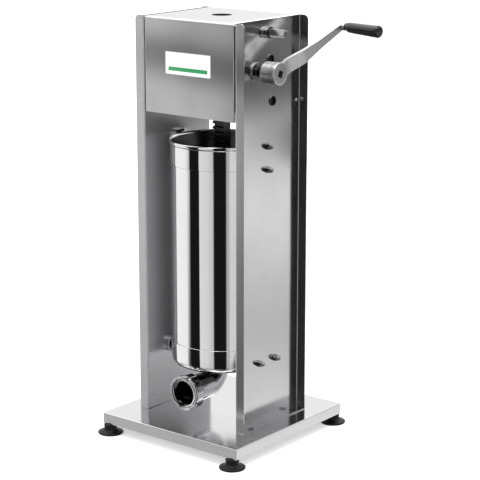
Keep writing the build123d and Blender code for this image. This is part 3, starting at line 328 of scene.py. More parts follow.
def stretched(tree, vector, stretch):
    node = tree.nodes.new("ShaderNodeVectorMath")
    node.operation = "MULTIPLY"
    link(tree, vector, node.inputs[0])
    link(tree, stretch, node.inputs[1])
    return node.outputs[0]


# %% Fine lines left by grinding or rolling
grain_group, given, made = new_group(
    "fine_grain_lines",
    [("Place", "vector", (0, 0, 0)), ("Lines Per Metre", "vector", (2500, 40, 40)),
     ("Roughness", "number", 0.2), ("Spread", "number", 0.1)],
    [("Roughness", "number"), ("Height", "number")])
lines = noise(grain_group, stretched(grain_group, given["Place"], given["Lines Per Metre"]), 1.0, 4.0, 0.7)
offset = maths(grain_group, "MULTIPLY", maths(grain_group, "SUBTRACT", lines, 0.5), given["Spread"])
link(grain_group, maths(grain_group, "ADD", given["Roughness"], offset), made["Roughness"])
link(grain_group, lines, made["Height"])

# %% Slow waves in a thin sheet that was folded, not cast
waves_group, given, made = new_group(
    "sheet_waves", [("Place", "vector", (0, 0, 0)), ("Waves Per Metre", "vector", (6, 6, 4))],
                                     [("Height", "number")])
link(waves_group,
     noise(waves_group, stretched(waves_group, given["Place"], given["Waves Per Metre"]), 1.0, 0.0, 0.4),
     made["Height"])

# %% Cloudy patches left by wiping and handling
haze_group, given, made = new_group(
    "wiping_haze",
    [("Place", "vector", (0, 0, 0)), ("Size", "number", 9.0), ("Base Roughness", "number", 0.1),
     ("Amount", "number", 0.05), ("Tone", "colour", (0.7, 0.7, 0.7, 1)), ("Dulling", "number", 0.06)],
    [("Roughness", "number"), ("Tone", "colour")])
clouds = noise(haze_group, given["Place"], given["Size"], 4.0, 0.6)
smears = noise(haze_group, given["Place"], maths(haze_group, "MULTIPLY", given["Size"], 7.0), 3.0, 0.7)
patch = maths(haze_group, "MULTIPLY", maths(haze_group, "MULTIPLY_ADD", clouds, 2.4, -0.75, clamp=True),
              smears)
link(haze_group, maths(haze_group, "MULTIPLY_ADD", patch, given["Amount"], given["Base Roughness"]),
     made["Roughness"])
shade = haze_group.nodes.new("ShaderNodeMixRGB")
shade.blend_type = "MULTIPLY"
link(haze_group, maths(haze_group, "MULTIPLY", patch, given["Dulling"]), shade.inputs["Fac"])
link(haze_group, given["Tone"], shade.inputs["Color1"])
shade.inputs["Color2"].default_value = (0, 0, 0, 1)
link(haze_group, shade.outputs[0], made["Tone"])

# %% Rings left by a lathe
rings_group, given, made = new_group(
    "lathe_rings",
    [("Place", "vector", (0, 0, 0)), ("Centre", "vector", (0, 0, 0)), ("Rings Per Metre", "number", 1200.0),
     ("Axis Mask", "vector", (0, 1, 1)), ("Along", "vector", (1, 0, 0)), ("Roughness", "number", 0.25),
     ("Spread", "number", 0.12)],
    [("Roughness", "number"), ("Height", "number")])
from_centre = rings_group.nodes.new("ShaderNodeVectorMath")
from_centre.operation = "SUBTRACT"
link(rings_group, given["Place"], from_centre.inputs[0])
link(rings_group, given["Centre"], from_centre.inputs[1])
across = rings_group.nodes.new("ShaderNodeVectorMath")
across.operation = "LENGTH"
link(rings_group, stretched(rings_group, from_centre.outputs[0], given["Axis Mask"]), across.inputs[0])
along = rings_group.nodes.new("ShaderNodeVectorMath")
along.operation = "DOT_PRODUCT"
link(rings_group, from_centre.outputs[0], along.inputs[0])
link(rings_group, given["Along"], along.inputs[1])
ring_place = rings_group.nodes.new("ShaderNodeCombineXYZ")
link(rings_group, maths(rings_group, "MULTIPLY", across.outputs["Value"], given["Rings Per Metre"]),
     ring_place.inputs[0])
link(rings_group, maths(rings_group, "MULTIPLY", along.outputs["Value"], given["Rings Per Metre"]),
     ring_place.inputs[1])
rings = noise(rings_group, ring_place.outputs[0], 1.0, 2.0)
offset = maths(rings_group, "MULTIPLY", maths(rings_group, "SUBTRACT", rings, 0.5), given["Spread"])
link(rings_group, maths(rings_group, "ADD", given["Roughness"], offset), made["Roughness"])
link(rings_group, rings, made["Height"])
print("groups", [g.name for g in bpy.data.node_groups])

# %% [markdown]
# ## The finishes
# All the steels share one recipe: a metal shader whose tone and roughness come from the haze
# group and whose fine relief comes from the grain or the lathe rings. Only their numbers differ,
# from the mirror of the cylinder to the soft satin of the hood.

# %% Steel recipe
def blank(name):
    """A new material, its shader and its place coordinates."""
    material = bpy.data.materials.new(name)
    material.use_nodes = True
    tree = material.node_tree
    shader = tree.nodes["Principled BSDF"]
    place = tree.nodes.new("ShaderNodeTexCoord").outputs["Object"]
    return material, tree, shader, place


def use(tree, group, **values):
    """Places a group. A value is a number, a tuple or a socket; underscores stand for spaces."""
    node = tree.nodes.new("ShaderNodeGroup")
    node.node_tree = group
    for label, value in values.items():
        socket = node.inputs[label.replace("_", " ")]
        if isinstance(value, bpy.types.NodeSocket):
            link(tree, value, socket)
        else:
            socket.default_value = value
    return node.outputs


def relief(tree, shader, height, strength, distance, over=None):
    """A Bump node on the shader's Normal. over is the relief that this one lies on, if there is one."""
    bump = tree.nodes.new("ShaderNodeBump")
    bump.inputs["Strength"].default_value = strength
    bump.inputs["Distance"].default_value = distance
    link(tree, height, bump.inputs["Height"])
    if over is not None:
        link(tree, over, bump.inputs["Normal"])
    link(tree, bump.outputs[0], shader.inputs["Normal"])
    return bump.outputs[0]


def sheet_steel(name, tone, roughness, haze, grain, spread, bump, size=7.0, wave=0.0):
    """Rolled or ground sheet. grain is lines per metre along X, Y and Z, and wave a height in metres."""
    material, tree, shader, place = blank(name)
    shader.inputs["Metallic"].default_value = 1.0
    wiped = use(tree, haze_group, Place=place, Size=size, Base_Roughness=roughness, Amount=haze,
                Tone=(*tone, 1), Dulling=0.12)
    ground = use(tree, grain_group, Place=place, Lines_Per_Metre=grain, Roughness=wiped["Roughness"],
                 Spread=spread)
    link(tree, wiped["Tone"], shader.inputs["Base Color"])
    link(tree, ground["Roughness"], shader.inputs["Roughness"])
    waves = use(tree, waves_group, Place=place)
    folded = relief(tree, shader, waves["Height"], 1.0, wave)
    relief(tree, shader, ground["Height"], bump, 0.0002, over=folded)
    return material


def turned_steel(name, tone, roughness, centre, axis, rings, spread, bump):
    """Lathe-turned metal. centre is a point on its axis and axis is "X", "Y" or "Z"."""
    material, tree, shader, place = blank(name)
    shader.inputs["Metallic"].default_value = 1.0
    along = tuple(1.0 if letter == axis else 0.0 for letter in "XYZ")
    mask = tuple(1.0 - value for value in along)
    wiped = use(tree, haze_group, Place=place, Size=60.0, Base_Roughness=roughness, Amount=0.08,
                Tone=(*tone, 1), Dulling=0.3)
    lathe = use(tree, rings_group, Place=place, Centre=tuple(centre), Rings_Per_Metre=rings, Axis_Mask=mask,
                Along=along, Roughness=wiped["Roughness"], Spread=spread)
    link(tree, wiped["Tone"], shader.inputs["Base Color"])
    link(tree, lathe["Roughness"], shader.inputs["Roughness"])
    relief(tree, shader, lathe["Height"], bump, 0.0004)
    return material


# %% The steels
mirror_steel = sheet_steel("mirror_steel", (0.82, 0.82, 0.83), 0.03, 0.02, (300, 300, 6), 0.01, 0.004,
                           wave=0.0006)
panel_steel = sheet_steel("panel_steel", (0.76, 0.76, 0.77), 0.15, 0.04, (900, 900, 12), 0.02, 0.002,
                          wave=0.0012)
left_panel_steel = sheet_steel("left_panel_steel", (0.66, 0.66, 0.67), 0.24, 0.04, (900, 900, 12), 0.02,
                               0.002,
                               wave=0.0012)
left_panel_metal = 0.78
left_panel_steel.node_tree.nodes["Principled BSDF"].inputs["Metallic"].default_value = left_panel_metal
# A near-black steel for the inside of the cylinder. This is painted shade: the bore is the same polished
# steel, darkened to stand in for the shade deep inside it, not for oil.
painted_shade_bore_steel = sheet_steel("bore_painted_shade_steel", (0.07, 0.07, 0.07), 0.22, 0.04, (300, 300, 6), 0.02, 0.004)
base_steel = sheet_steel("base_steel", (0.78, 0.78, 0.79), 0.12, 0.05, (12, 900, 900), 0.02, 0.002,
                         wave=0.0004)
hood_steel = sheet_steel("hood_steel", (0.78, 0.78, 0.79), 0.15, 0.05, (1600, 1600, 14), 0.04, 0.006, 4.0,
                         wave=0.002)
plate_steel = sheet_steel("ground_plate", (0.50, 0.50, 0.51), 0.35, 0.1, (40, 1800, 1800), 0.12, 0.15)
gear_steel = sheet_steel("oiled_gear_steel", (0.10, 0.10, 0.105), 0.26, 0.12, (1200, 60, 60), 0.15, 0.12,
                         40.0)
arm_steel = sheet_steel("blasted_arm_steel", (0.74, 0.74, 0.74), 0.36, 0.14, (500, 350, 350), 0.08, 0.08,
                        30.0)
bolt_steel = sheet_steel("bolt_steel", (0.42, 0.42, 0.43), 0.08, 0.08, (400, 400, 400), 0.05, 0.03, 90.0)
hub_steel = turned_steel("turned_hub_steel", (0.74, 0.74, 0.74), 0.28, middle("crank_hub"), "X", 900.0, 0.20,
                         0.4)
shaft_steel = turned_steel("turned_shaft_steel", (0.74, 0.74, 0.75), 0.14, middle("power_shaft"), "X", 1100.0,
                           0.10, 0.15)
nut_steel = turned_steel("turned_ring_nut_steel", (0.66, 0.66, 0.67), 0.07, middle("ring_nut"), "Y", 900.0,
                         0.04, 0.06)
bronze = turned_steel("bearing_bronze", (0.60, 0.38, 0.17), 0.26, middle("drive_shaft"), "X", 900.0, 0.15,
                      0.2)
outlet_steel = sheet_steel("outlet_steel", (0.52, 0.52, 0.53), 0.07, 0.06, (60, 400, 400), 0.04, 0.006,
                           wave=0.0008)
print("steels", len(bpy.data.materials))


# %% Rubber, plastics and the label
def moulded(name, tone, roughness, speckle, bump, coat=0.0, size=400.0, shine=0.5):
    """Moulded rubber or plastic: an even tone with a fine uneven skin."""
    material, tree, shader, place = blank(name)
    skin = use(tree, haze_group, Place=place, Size=size, Base_Roughness=roughness, Amount=speckle,
               Tone=(*tone, 1), Dulling=0.35)
    link(tree, skin["Tone"], shader.inputs["Base Color"])
    link(tree, skin["Roughness"], shader.inputs["Roughness"])
    shader.inputs["Coat Weight"].default_value = coat
    shader.inputs["Coat Roughness"].default_value = 0.08
    shader.inputs["Specular IOR Level"].default_value = shine
    relief(tree, shader, skin["Roughness"], bump, 0.0003)
    return material


black_rubber = moulded("moulded_black_rubber", (0.007, 0.007, 0.008), 0.34, 0.20, 0.15, shine=0.25)
black_plastic = moulded("glossy_black_plastic", (0.006, 0.006, 0.007), 0.12, 0.06, 0.02, coat=0.6, shine=0.5)
white_nylon = moulded("white_nylon", (0.80, 0.80, 0.77), 0.45, 0.15, 0.10)
seal_rubber = moulded("pale_seal_rubber", (0.72, 0.70, 0.64), 0.5, 0.2, 0.15)
label_white = moulded("label_white", (0.90, 0.90, 0.90), 0.35, 0.1, 0.03)

# %% Each slot's finish on the pieces that came in
finishes = {
    "polished_steel": panel_steel, "satin_steel": hood_steel, "plate_steel": plate_steel,
    "cast_steel": arm_steel, "fastener_steel": bolt_steel, "gear_steel": gear_steel, "bronze": bronze,
    "black_rubber": black_rubber, "black_plastic": black_plastic, "white_nylon": white_nylon,
    "seal_rubber": seal_rubber, "label": label_white}
own_finish = {
    "cylinder": mirror_steel, "outlet_elbow": mirror_steel, "outlet_ferrule": nut_steel,
    "ring_nut": nut_steel, "base_tray": base_steel, "crank_hub": hub_steel, "trunnions": mirror_steel,
    "catch_studs": mirror_steel, "power_shaft": shaft_steel, "power_bush_right": shaft_steel,
    "drive_bush_right": shaft_steel, "grip_pin": shaft_steel}
for name, node in nodes.items():
    slot_name = node.material_slots[0].material.name.split(".")[0]
    node.data.materials[0] = own_finish.get(name, finishes[slot_name])
print("finished", len(nodes), "pieces that came in")

# %% [markdown]
# ## Pieces with more detail
# A piece that came in with the right shape keeps its mesh. The rest are rebuilt. Whatever is
# turned on a lathe on the real machine is made the same way here: a profile, drawn as distances
# along the axis and radii, is carried round the axis. Where a radius is nought, the faces meet in
# one point, so nothing is left open.

# %% Turning a profile
def round_off(mesh, angle=35):
    """Smooth shading, with edges sharper than the angle kept crisp."""
    mesh.shade_smooth()
    mesh.set_sharp_from_angle(angle=radians(angle))


def turned(name, profile, origin, axis, segments=96):
    """A closed turned solid. profile holds (distance, radius) pairs in metres, in order round the section."""
    axis = Vector(axis).normalized()
    side = axis.orthogonal().normalized()
    other = axis.cross(side)
    shape = bmesh.new()
    rows = []
    for distance, radius in profile:
        centre = Vector(origin) + axis * distance
        if radius < 1e-7:
            rows.append([shape.verts.new(centre)] * segments)
            continue
        rows.append([shape.verts.new(centre + (side * cos(turn) + other * sin(turn)) * radius)
                     for turn in (2 * pi * step / segments for step in range(segments))])
    for row, following in zip(rows, rows[1:] + rows[:1]):
        for step in range(segments):
            after = (step + 1) % segments
            corners = dict.fromkeys((row[step], row[after], following[after], following[step]))
            if len(corners) > 2:
                shape.faces.new(list(corners))
    bmesh.ops.recalc_face_normals(shape, faces=shape.faces)
    mesh = bpy.data.meshes.new(name)
    shape.to_mesh(mesh)
    shape.free()
    round_off(mesh)
    piece = bpy.data.objects.new(name, mesh)
    scene.collection.objects.link(piece)
    return piece


def settle(piece, material, body, slot, *stands_for):
    """Gives a piece its finish, its body and the nodes that it stands for."""
    piece.data.materials.clear()
    piece.data.materials.append(material)
    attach(piece, body)
    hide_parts(*stands_for)
    print(piece.name, len(piece.data.polygons), "faces")


def merged(node):
    """A bmesh copy of a node, its loose triangles joined into a skin."""
    shape = bmesh.new()
    shape.from_mesh(node.data)
    bmesh.ops.remove_doubles(shape, verts=shape.verts, dist=1e-6)
    return shape


def solids_of(node):
    """The centre and size of each separate solid in a node."""
    shape = merged(node)
    left = set(shape.verts)
    found = []
    while left:
        group = [left.pop()]
        for vert in group:
            for edge in vert.link_edges:
                other = edge.other_vert(vert)
                if other in left:
                    left.remove(other)
                    group.append(other)
        low = Vector([min(v.co[i] for v in group) for i in range(3)])
        high = Vector([max(v.co[i] for v in group) for i in range(3)])
        found.append(((low + high) / 2, high - low))
    shape.free()
    return sorted(found, key=lambda solid: tuple(round(value, 5) for value in solid[0]))


# %% [markdown]
# ## Eased edges
# No real sheet has a perfectly sharp edge: it is broken with a file, and that narrow band catches
# the light as a thin bright line. The folded sheets and the crank's arm are copies of what came
# in, joined up, with a small bevel on each sharp edge. A bevel modifier does this well, and
# new_from_object then bakes it into a plain mesh.

# %% Bevelled copies
def plain_mesh(worker, name):
    """The evaluated shape of a worker object as a new object with a plain mesh. The worker goes."""
    bpy.context.view_layer.update()
    graph = bpy.context.evaluated_depsgraph_get()
    mesh = bpy.data.meshes.new_from_object(worker.evaluated_get(graph), depsgraph=graph)
    mesh.name = name
    bpy.data.objects.remove(worker)
    piece = bpy.data.objects.new(name, mesh)
    scene.collection.objects.link(piece)
    return piece


def eased(name, node_name, width, segments=2):
    shape = merged(nodes[node_name])
    bmesh.ops.dissolve_limit(shape, angle_limit=radians(0.5), verts=shape.verts, edges=shape.edges)
    mesh = bpy.data.meshes.new(name + "_worker")
    shape.to_mesh(mesh)
    shape.free()
    if "custom_normal" in mesh.attributes:
        mesh.attributes.remove(mesh.attributes["custom_normal"])
    mesh.shade_smooth()
    worker = bpy.data.objects.new(name + "_worker", mesh)
    scene.collection.objects.link(worker)
    bevel = worker.modifiers.new("eased_edges", "BEVEL")
    bevel.width = width
    bevel.segments = segments
    bevel.limit_method = "ANGLE"
    bevel.angle_limit = radians(40)
    bevel.use_clamp_overlap = True
    flats = worker.modifiers.new("flat_faces_lead", "WEIGHTED_NORMAL")
    flats.weight = 100
    return plain_mesh(worker, name)


settle(eased("right_panel_sheet", "side_panel_right", 0.0007), panel_steel, "cabinet", "polished_steel",
       "side_panel_right")
settle(eased("left_panel_sheet", "side_panel_left", 0.0007), left_panel_steel, "cabinet", "polished_steel",
       "side_panel_left")
settle(eased("base_tray_sheet", "base_tray", 0.0007), base_steel, "cabinet", "polished_steel", "base_tray")
settle(eased("hood_sheet", "hood", 0.0006), hood_steel, "cabinet", "satin_steel", "hood")
settle(eased("offset_crank_arm", "crank_arm", 0.0016, 3), arm_steel, "crank", "cast_steel", "crank_arm")

# %% [markdown]
# ## Nuts and bolts
# The machine is held together by rows of the same few fasteners, so one Geometry Nodes tree makes
# them all: a washer, a six-sided head whose corners are cut by a cone as on a real nut, a shank,
# and for the domed nuts a dome. The spots are the vertices of a small mesh, and each carries a
# facing vector. Every fastener gets a random turn from a fixed seed, because no two nuts on a
# machine stop at the same angle.
#
# Known fault: the bolts come out as a washer and a shank only. The cut head on its own is whole, so
# it is lost when the solids are joined, or after that.

# %% Geometry tree helpers
def shape_tree(name, inputs):
    """An empty geometry tree. inputs are (name, kind, value) rows."""
    tree = bpy.data.node_groups.new(name, "GeometryNodeTree")
    tree.is_modifier = True
    kinds = {"length": "NodeSocketFloat", "count": "NodeSocketInt", "material": "NodeSocketMaterial",
             "object": "NodeSocketObject"}
    tree.interface.new_socket("Geometry", in_out="INPUT", socket_type="NodeSocketGeometry")
    tree.interface.new_socket("Geometry", in_out="OUTPUT", socket_type="NodeSocketGeometry")
    for label, kind, value in inputs:
        socket = tree.interface.new_socket(label, in_out="INPUT", socket_type=kinds[kind])
        if value is not None:
            socket.default_value = value
    return tree, tree.nodes.new("NodeGroupInput").outputs, tree.nodes.new("NodeGroupOutput").inputs


def add_node(tree, kind, settings=None, **values):
    """A node with its settings and inputs. A value is a number, a tuple or a socket."""
    node = tree.nodes.new(kind)
    for label, value in (settings or {}).items():
        setattr(node, label, value)
    for label, value in values.items():
        socket = node.inputs[label.replace("_", " ")]
        if isinstance(value, bpy.types.NodeSocket):
            link(tree, value, socket)
        else:
            socket.default_value = value
    return node


def upwards(tree, amount):
    return add_node(tree, "ShaderNodeCombineXYZ", Z=amount).outputs[0]


def lifted(tree, geometry, amount):
    return add_node(tree, "GeometryNodeTransform", Geometry=geometry,
                    Translation=upwards(tree, amount)).outputs[0]


def joined(tree, solids, operation="UNION"):
    node = add_node(tree, "GeometryNodeMeshBoolean", {"operation": operation})
    for solid in solids:
        link(tree, solid, node.inputs["Mesh 2"])
    return node.outputs[0]


def set_out(tree, spots, solid, seed, material, target):
    """One copy of the solid on each spot, facing as the spot says, with a random turn of its own."""
    facing = add_node(tree, "GeometryNodeInputNamedAttribute", {"data_type": "FLOAT_VECTOR"}, Name="facing")
    aimed = add_node(tree, "FunctionNodeAlignRotationToVector", {"axis": "Z"}, Vector=facing.outputs[0])
    copies = add_node(tree, "GeometryNodeInstanceOnPoints", Points=spots, Instance=solid,
                      Rotation=aimed.outputs[0])
    chance = add_node(tree, "FunctionNodeRandomValue", Max=2 * pi, Seed=seed)
    turn = next(o for o in chance.outputs if o.enabled)
    twisted = add_node(tree, "GeometryNodeRotateInstances", Instances=copies.outputs[0],
                       Rotation=upwards(tree, turn))
    real = add_node(tree, "GeometryNodeRealizeInstances", Geometry=twisted.outputs[0])
    done = add_node(tree, "GeometryNodeSetMaterial", Geometry=real.outputs[0], Material=material)
    link(tree, done.outputs[0], target)


def grown(name, mesh, tree, **values):
    """Runs a tree on a mesh and returns the result as an object with a plain mesh."""
    worker = bpy.data.objects.new(name + "_worker", mesh)
    scene.collection.objects.link(worker)
    modifier = worker.modifiers.new("tree", "NODES")
    modifier.node_group = tree
    sockets = {item.name: item.identifier for item in tree.interface.items_tree if item.in_out == "INPUT"}
    for label, value in values.items():
        modifier[sockets[label.replace("_", " ")]] = value
    return plain_mesh(worker, name)


def spots_mesh(name, spots):
    """A mesh of bare vertices. spots are (place, facing) pairs."""
    mesh = bpy.data.meshes.new(name)
    mesh.from_pydata([place for place, facing in spots], [], [])
    ways = mesh.attributes.new("facing", "FLOAT_VECTOR", "POINT")
    for entry, (place, facing) in zip(ways.data, spots):
        entry.vector = facing
    return mesh


# %% The fastener trees
def fastener_tree(name, domed):
    inputs = [("Corner Radius", "length", 0.0075), ("Head Height", "length", 0.007),
              ("Washer Radius", "length", 0.008), ("Washer Thickness", "length", 0.0016),
              ("Shank Radius", "length", 0.004), ("Shank Length", "length", 0.004),
              ("Dome Radius", "length", 0.0059), ("Dome Height", "length", 0.008),
              ("Seed", "count", 1), ("Finish", "material", None)]
    tree, given, made = shape_tree(name, inputs)
    washer_up, head, corner = given["Washer Thickness"], given["Head Height"], given["Corner Radius"]
    head_top = maths(tree, "ADD", washer_up, head)
    head_middle = maths(tree, "MULTIPLY_ADD", head, 0.5, washer_up)
    washer = add_node(tree, "GeometryNodeMeshCylinder", Vertices=48, Radius=given["Washer Radius"],
                      Depth=washer_up)
    prism = add_node(tree, "GeometryNodeMeshCylinder", Vertices=6, Radius=corner, Depth=head)
    narrow = maths(tree, "MULTIPLY", corner, 0.83)
    overlap = 0.0005
    cone = add_node(tree, "GeometryNodeMeshCone", Vertices=60,
                    Radius_Top=maths(tree, "SUBTRACT", narrow, sqrt(3) * overlap),
                    Radius_Bottom=maths(tree, "MULTIPLY_ADD", maths(tree, "ADD", head, overlap), sqrt(3),
                                        narrow),
                    Depth=maths(tree, "ADD", head, 2 * overlap))
    prism_up = lifted(tree, prism.outputs["Mesh"], head_middle)
    cone_set = lifted(tree, cone.outputs["Mesh"], maths(tree, "SUBTRACT", washer_up, overlap))
    chamfered = joined(tree, [prism_up, cone_set], "INTERSECT")
    shank = add_node(tree, "GeometryNodeMeshCylinder", Vertices=32, Radius=given["Shank Radius"],
                     Depth=maths(tree, "ADD", given["Shank Length"], 0.001))
    shank_set = lifted(tree, shank.outputs["Mesh"],
                       maths(tree, "MULTIPLY_ADD", given["Shank Length"], -0.5, 0.0005))
    solids = [lifted(tree, washer.outputs["Mesh"], maths(tree, "MULTIPLY", washer_up, 0.5)), chamfered,
              shank_set]
    if domed:
        neck_height = maths(tree, "SUBTRACT", given["Dome Height"], given["Dome Radius"])
        neck = add_node(tree, "GeometryNodeMeshCylinder", Vertices=48, Radius=given["Dome Radius"],
                        Depth=maths(tree, "ADD", neck_height, head))
        ball = add_node(tree, "GeometryNodeMeshUVSphere", Segments=48, Rings=24, Radius=given["Dome Radius"])
        solids.append(lifted(tree, neck.outputs["Mesh"],
                             maths(tree, "MULTIPLY_ADD", neck_height, 0.5, head_middle)))
        solids.append(lifted(tree, ball.outputs["Mesh"], maths(tree, "ADD", head_top, neck_height)))
    set_out(tree, given["Geometry"], joined(tree, solids), given["Seed"], given["Finish"], made["Geometry"])
    return tree


plain_fastener = fastener_tree("hex_bolt_row", False)
domed_fastener = fastener_tree("domed_nut_row", True)
print("trees", plain_fastener.name, domed_fastener.name)

# %% Fasteners on the panels and the base
panel_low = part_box("side_panel_right")[0]
panel_outside = panel_low.x + 0.002
base_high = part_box("base_tray")[1]


def on_the_panels(node_name):
    """Spots on the outer faces of the side panels, where a node's solids are."""
    return [(Vector((panel_outside * (1 if centre.x > 0 else -1), centre.y, centre.z)),
             Vector((1 if centre.x > 0 else -1, 0, 0))) for centre, size in solids_of(nodes[node_name])]


for node_name, seed in (("cradle_nuts", 3), ("catch_nuts", 8)):
    row = grown("domed_" + node_name, spots_mesh(node_name, on_the_panels(node_name)), domed_fastener,
                Shank_Length=0.0005, Seed=seed, Finish=bolt_steel)
    round_off(row.data)
    settle(row, bolt_steel, "cabinet", "fastener_steel", node_name)
big = grown("big_gearbox_bolts", spots_mesh("gearbox_bolts", on_the_panels("gearbox_bolts")), plain_fastener,
            Corner_Radius=0.0109, Head_Height=0.009, Washer_Radius=0.0115, Washer_Thickness=0.002,
            Shank_Radius=0.006, Shank_Length=0.013, Seed=5, Finish=bolt_steel)
round_off(big.data)
settle(big, bolt_steel, "cabinet", "fastener_steel", "gearbox_bolts")
base_spots = [(Vector((centre.x, centre.y, base_high.z + 0.002)), Vector((0, 0, 1)))
              for centre, size in solids_of(nodes["flange_bolts"])]
held_down = grown("base_flange_bolts", spots_mesh("flange_bolts", base_spots), plain_fastener,
                  Corner_Radius=0.0072, Head_Height=0.0055, Washer_Radius=0.0076, Washer_Thickness=0.0015,
                  Shank_Length=0.014, Seed=2, Finish=bolt_steel)
round_off(held_down.data)
settle(held_down, bolt_steel, "cabinet", "fastener_steel", "flange_bolts")

# %% [markdown]
# ## Feet and hood screws
# Each foot is a cup of soft rubber: a neck that grips the bolt, a waist, and a wide lip that
# clings to a table. It is turned once, and a second tree sets the same foot out at four spots.
# The same tree sets out the two button-headed screws of the hood.

# %% The tree that sets out copies
copies_tree, given, made = shape_tree("copies_on_spots", [
    ("Pattern", "object", None), ("Seed", "count", 1), ("Finish", "material", None)])
pattern = add_node(copies_tree, "GeometryNodeObjectInfo", Object=given["Pattern"])
set_out(copies_tree, given["Geometry"], pattern.outputs["Geometry"], given["Seed"], given["Finish"],
        made["Geometry"])

# %% Feet
foot_spots = [(middle("foot_" + place) * Vector((1, 1, 0)), Vector((0, 0, 1)))
              for place in ("front_left", "front_right", "rear_left", "rear_right")]
foot_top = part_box("foot_front_left")[1].z
waist = [(0.0155 + 0.0145 * (step / 12) ** 2.3 - 0.0012 * sin(pi * step / 12),
          0.0165 - 0.0125 * (step / 12) ** 0.75)
         for step in range(13)]
foot_profile = [(0.004, 0.0041), (foot_top, 0.0041), (foot_top, 0.0130), (foot_top - 0.0006, 0.0146),
                (foot_top - 0.0020, 0.0155)] + [(up, out) for out, up in waist[:-1]] + [
    (0.0042, 0.0290), (0.0032, 0.0298), (0.0020, 0.0300), (0.0008, 0.0296), (0.0, 0.0288), (0.0, 0.0250),
    (0.0016, 0.0200), (0.0032, 0.0140), (0.0040, 0.0080)]
foot_pattern = turned("foot_pattern", foot_profile, (0, 0, 0), (0, 0, 1), 72)
feet = grown("rubber_feet", spots_mesh("feet", foot_spots), copies_tree, Pattern=foot_pattern, Seed=4,
             Finish=black_rubber)
round_off(feet.data, 45)
settle(feet, black_rubber, "cabinet", "black_rubber", *[n for n in nodes if n.startswith("foot_") and n[5:] in
       ("front_left", "front_right", "rear_left", "rear_right")])
bpy.data.objects.remove(foot_pattern)

# %% Hood screws
screw_profile = [(-0.008, 0.0), (-0.008, 0.0021), (-0.0076, 0.0025), (0.0, 0.0025), (0.0, 0.0050),
                 (0.0010, 0.0049), (0.0020, 0.0043), (0.0027, 0.0033), (0.0030, 0.0020), (0.0030, 0.0016),
                 (0.0014, 0.0015), (0.0012, 0.0)]
screw_pattern = turned("screw_pattern", screw_profile, (0, 0, 0), (0, 0, 1), 32)
screws = grown("hood_button_screws", spots_mesh("hood_screws", on_the_panels("hood_screws")), copies_tree,
               Pattern=screw_pattern, Seed=6, Finish=bolt_steel)
round_off(screws.data)
settle(screws, bolt_steel, "cabinet", "fastener_steel", "hood_screws")
bpy.data.objects.remove(screw_pattern)

# %% [markdown]
# ## The cylinder
# A spun shell with a flared rim and a collar rolled on at each end. Where a collar meets the wall
# there is a fine groove, which reads as a dark line right round. The whole section is turned, and
# a Boolean modifier opens the hole for the outlet in the floor.

# %% Cylinder shell
shell_low, shell_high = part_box("cylinder")
foot_z, rim_z = shell_low.z, shell_high.z
bore, wall, collar, lip = 0.116, 0.118, 0.1195, 0.1215
lower_seam, upper_seam = foot_z + 0.057, foot_z + 0.473
rim_bottom = rim_z - 0.009
corner_round = 0.016
outer_corner = [(foot_z + corner_round * (1 - sin(turn)), collar - corner_round * (1 - cos(turn)))
                for turn in (pi / 2 * step / 10 for step in range(10, -1, -1))]
inner_corner = [(foot_z + 0.002 + 0.014 * (1 - sin(turn)), bore - 0.014 * (1 - cos(turn)))
                for turn in (pi / 2 * step / 10 for step in range(11))]


def groove(z, radius):
    """A fine groove cut just beside a collar's edge."""
    return [(z - 0.0005, radius), (z - 0.0003, radius - 0.0007), (z + 0.0003, radius - 0.0007),
            (z + 0.0005, radius)]


shell_profile = ([(foot_z, 0.0)] + outer_corner + [(lower_seam - 0.0003, collar),
                                                   (lower_seam, collar - 0.0004)]
                 + groove(lower_seam + 0.0006, wall) + groove(upper_seam - 0.0006, wall)
                 + [(upper_seam, collar - 0.0004), (upper_seam + 0.0003, collar)]
                 + groove(upper_seam + 0.0016, collar) + [
                     (rim_bottom - 0.0004, collar), (rim_bottom, collar + 0.0004),
                                                          (rim_bottom + 0.0006, lip - 0.0009),
                     (rim_bottom + 0.0022, lip - 0.0003), (rim_bottom + 0.0045, lip),
                                                          (rim_z - 0.0022, lip - 0.0003),
                     (rim_z - 0.0006, lip - 0.0010), (rim_z, lip - 0.0020), (rim_z, bore + 0.0033),
                     (rim_z - 0.0005, bore + 0.0025), (rim_z - 0.0050, bore)] + inner_corner
                 + [(foot_z + 0.002, 0.0)])
shell = turned("turned_shell", shell_profile, (0, 0, 0), (0, 0, 1), 192)
hole_maker = turned("hole_maker", [(foot_z - 0.01, 0.0), (foot_z - 0.01, 0.0285), (foot_z + 0.01, 0.0285),
                                   (foot_z + 0.01, 0.0)], (0, -0.025, 0), (0, 0, 1), 64)
opening = shell.modifiers.new("outlet_hole", "BOOLEAN")
opening.operation = "DIFFERENCE"
opening.object = hole_maker
cylinder = plain_mesh(shell, "spun_cylinder")
bpy.data.objects.remove(hole_maker)
round_off(cylinder.data, 40)
settle(cylinder, mirror_steel, "cabinet", "polished_steel", "cylinder")
# The inside wall and floor of the bore, up to just below the rim, take the near-black steel. This is painted
# shade, in place of the shade that falls inside the deep cylinder.
cylinder.data.materials.append(painted_shade_bore_steel)
bore_edge, bore_top = bore + 0.0005, rim_z - 0.004
for face in cylinder.data.polygons:
    if hypot(face.center.x, face.center.y) < bore_edge and face.center.z < bore_top:
        face.material_index = 1

# %% [markdown]
# ## The outlet
# The elbow is a pipe bent to a quarter circle. Its path is a curve with one run down, a bend and
# one run forward, and a tree carries a circle along it. A Solidify modifier then gives the wall.
# The ring nut is turned, with a round bead and a groove in its face, and its six lugs are copies
# of one block set round it and joined on.

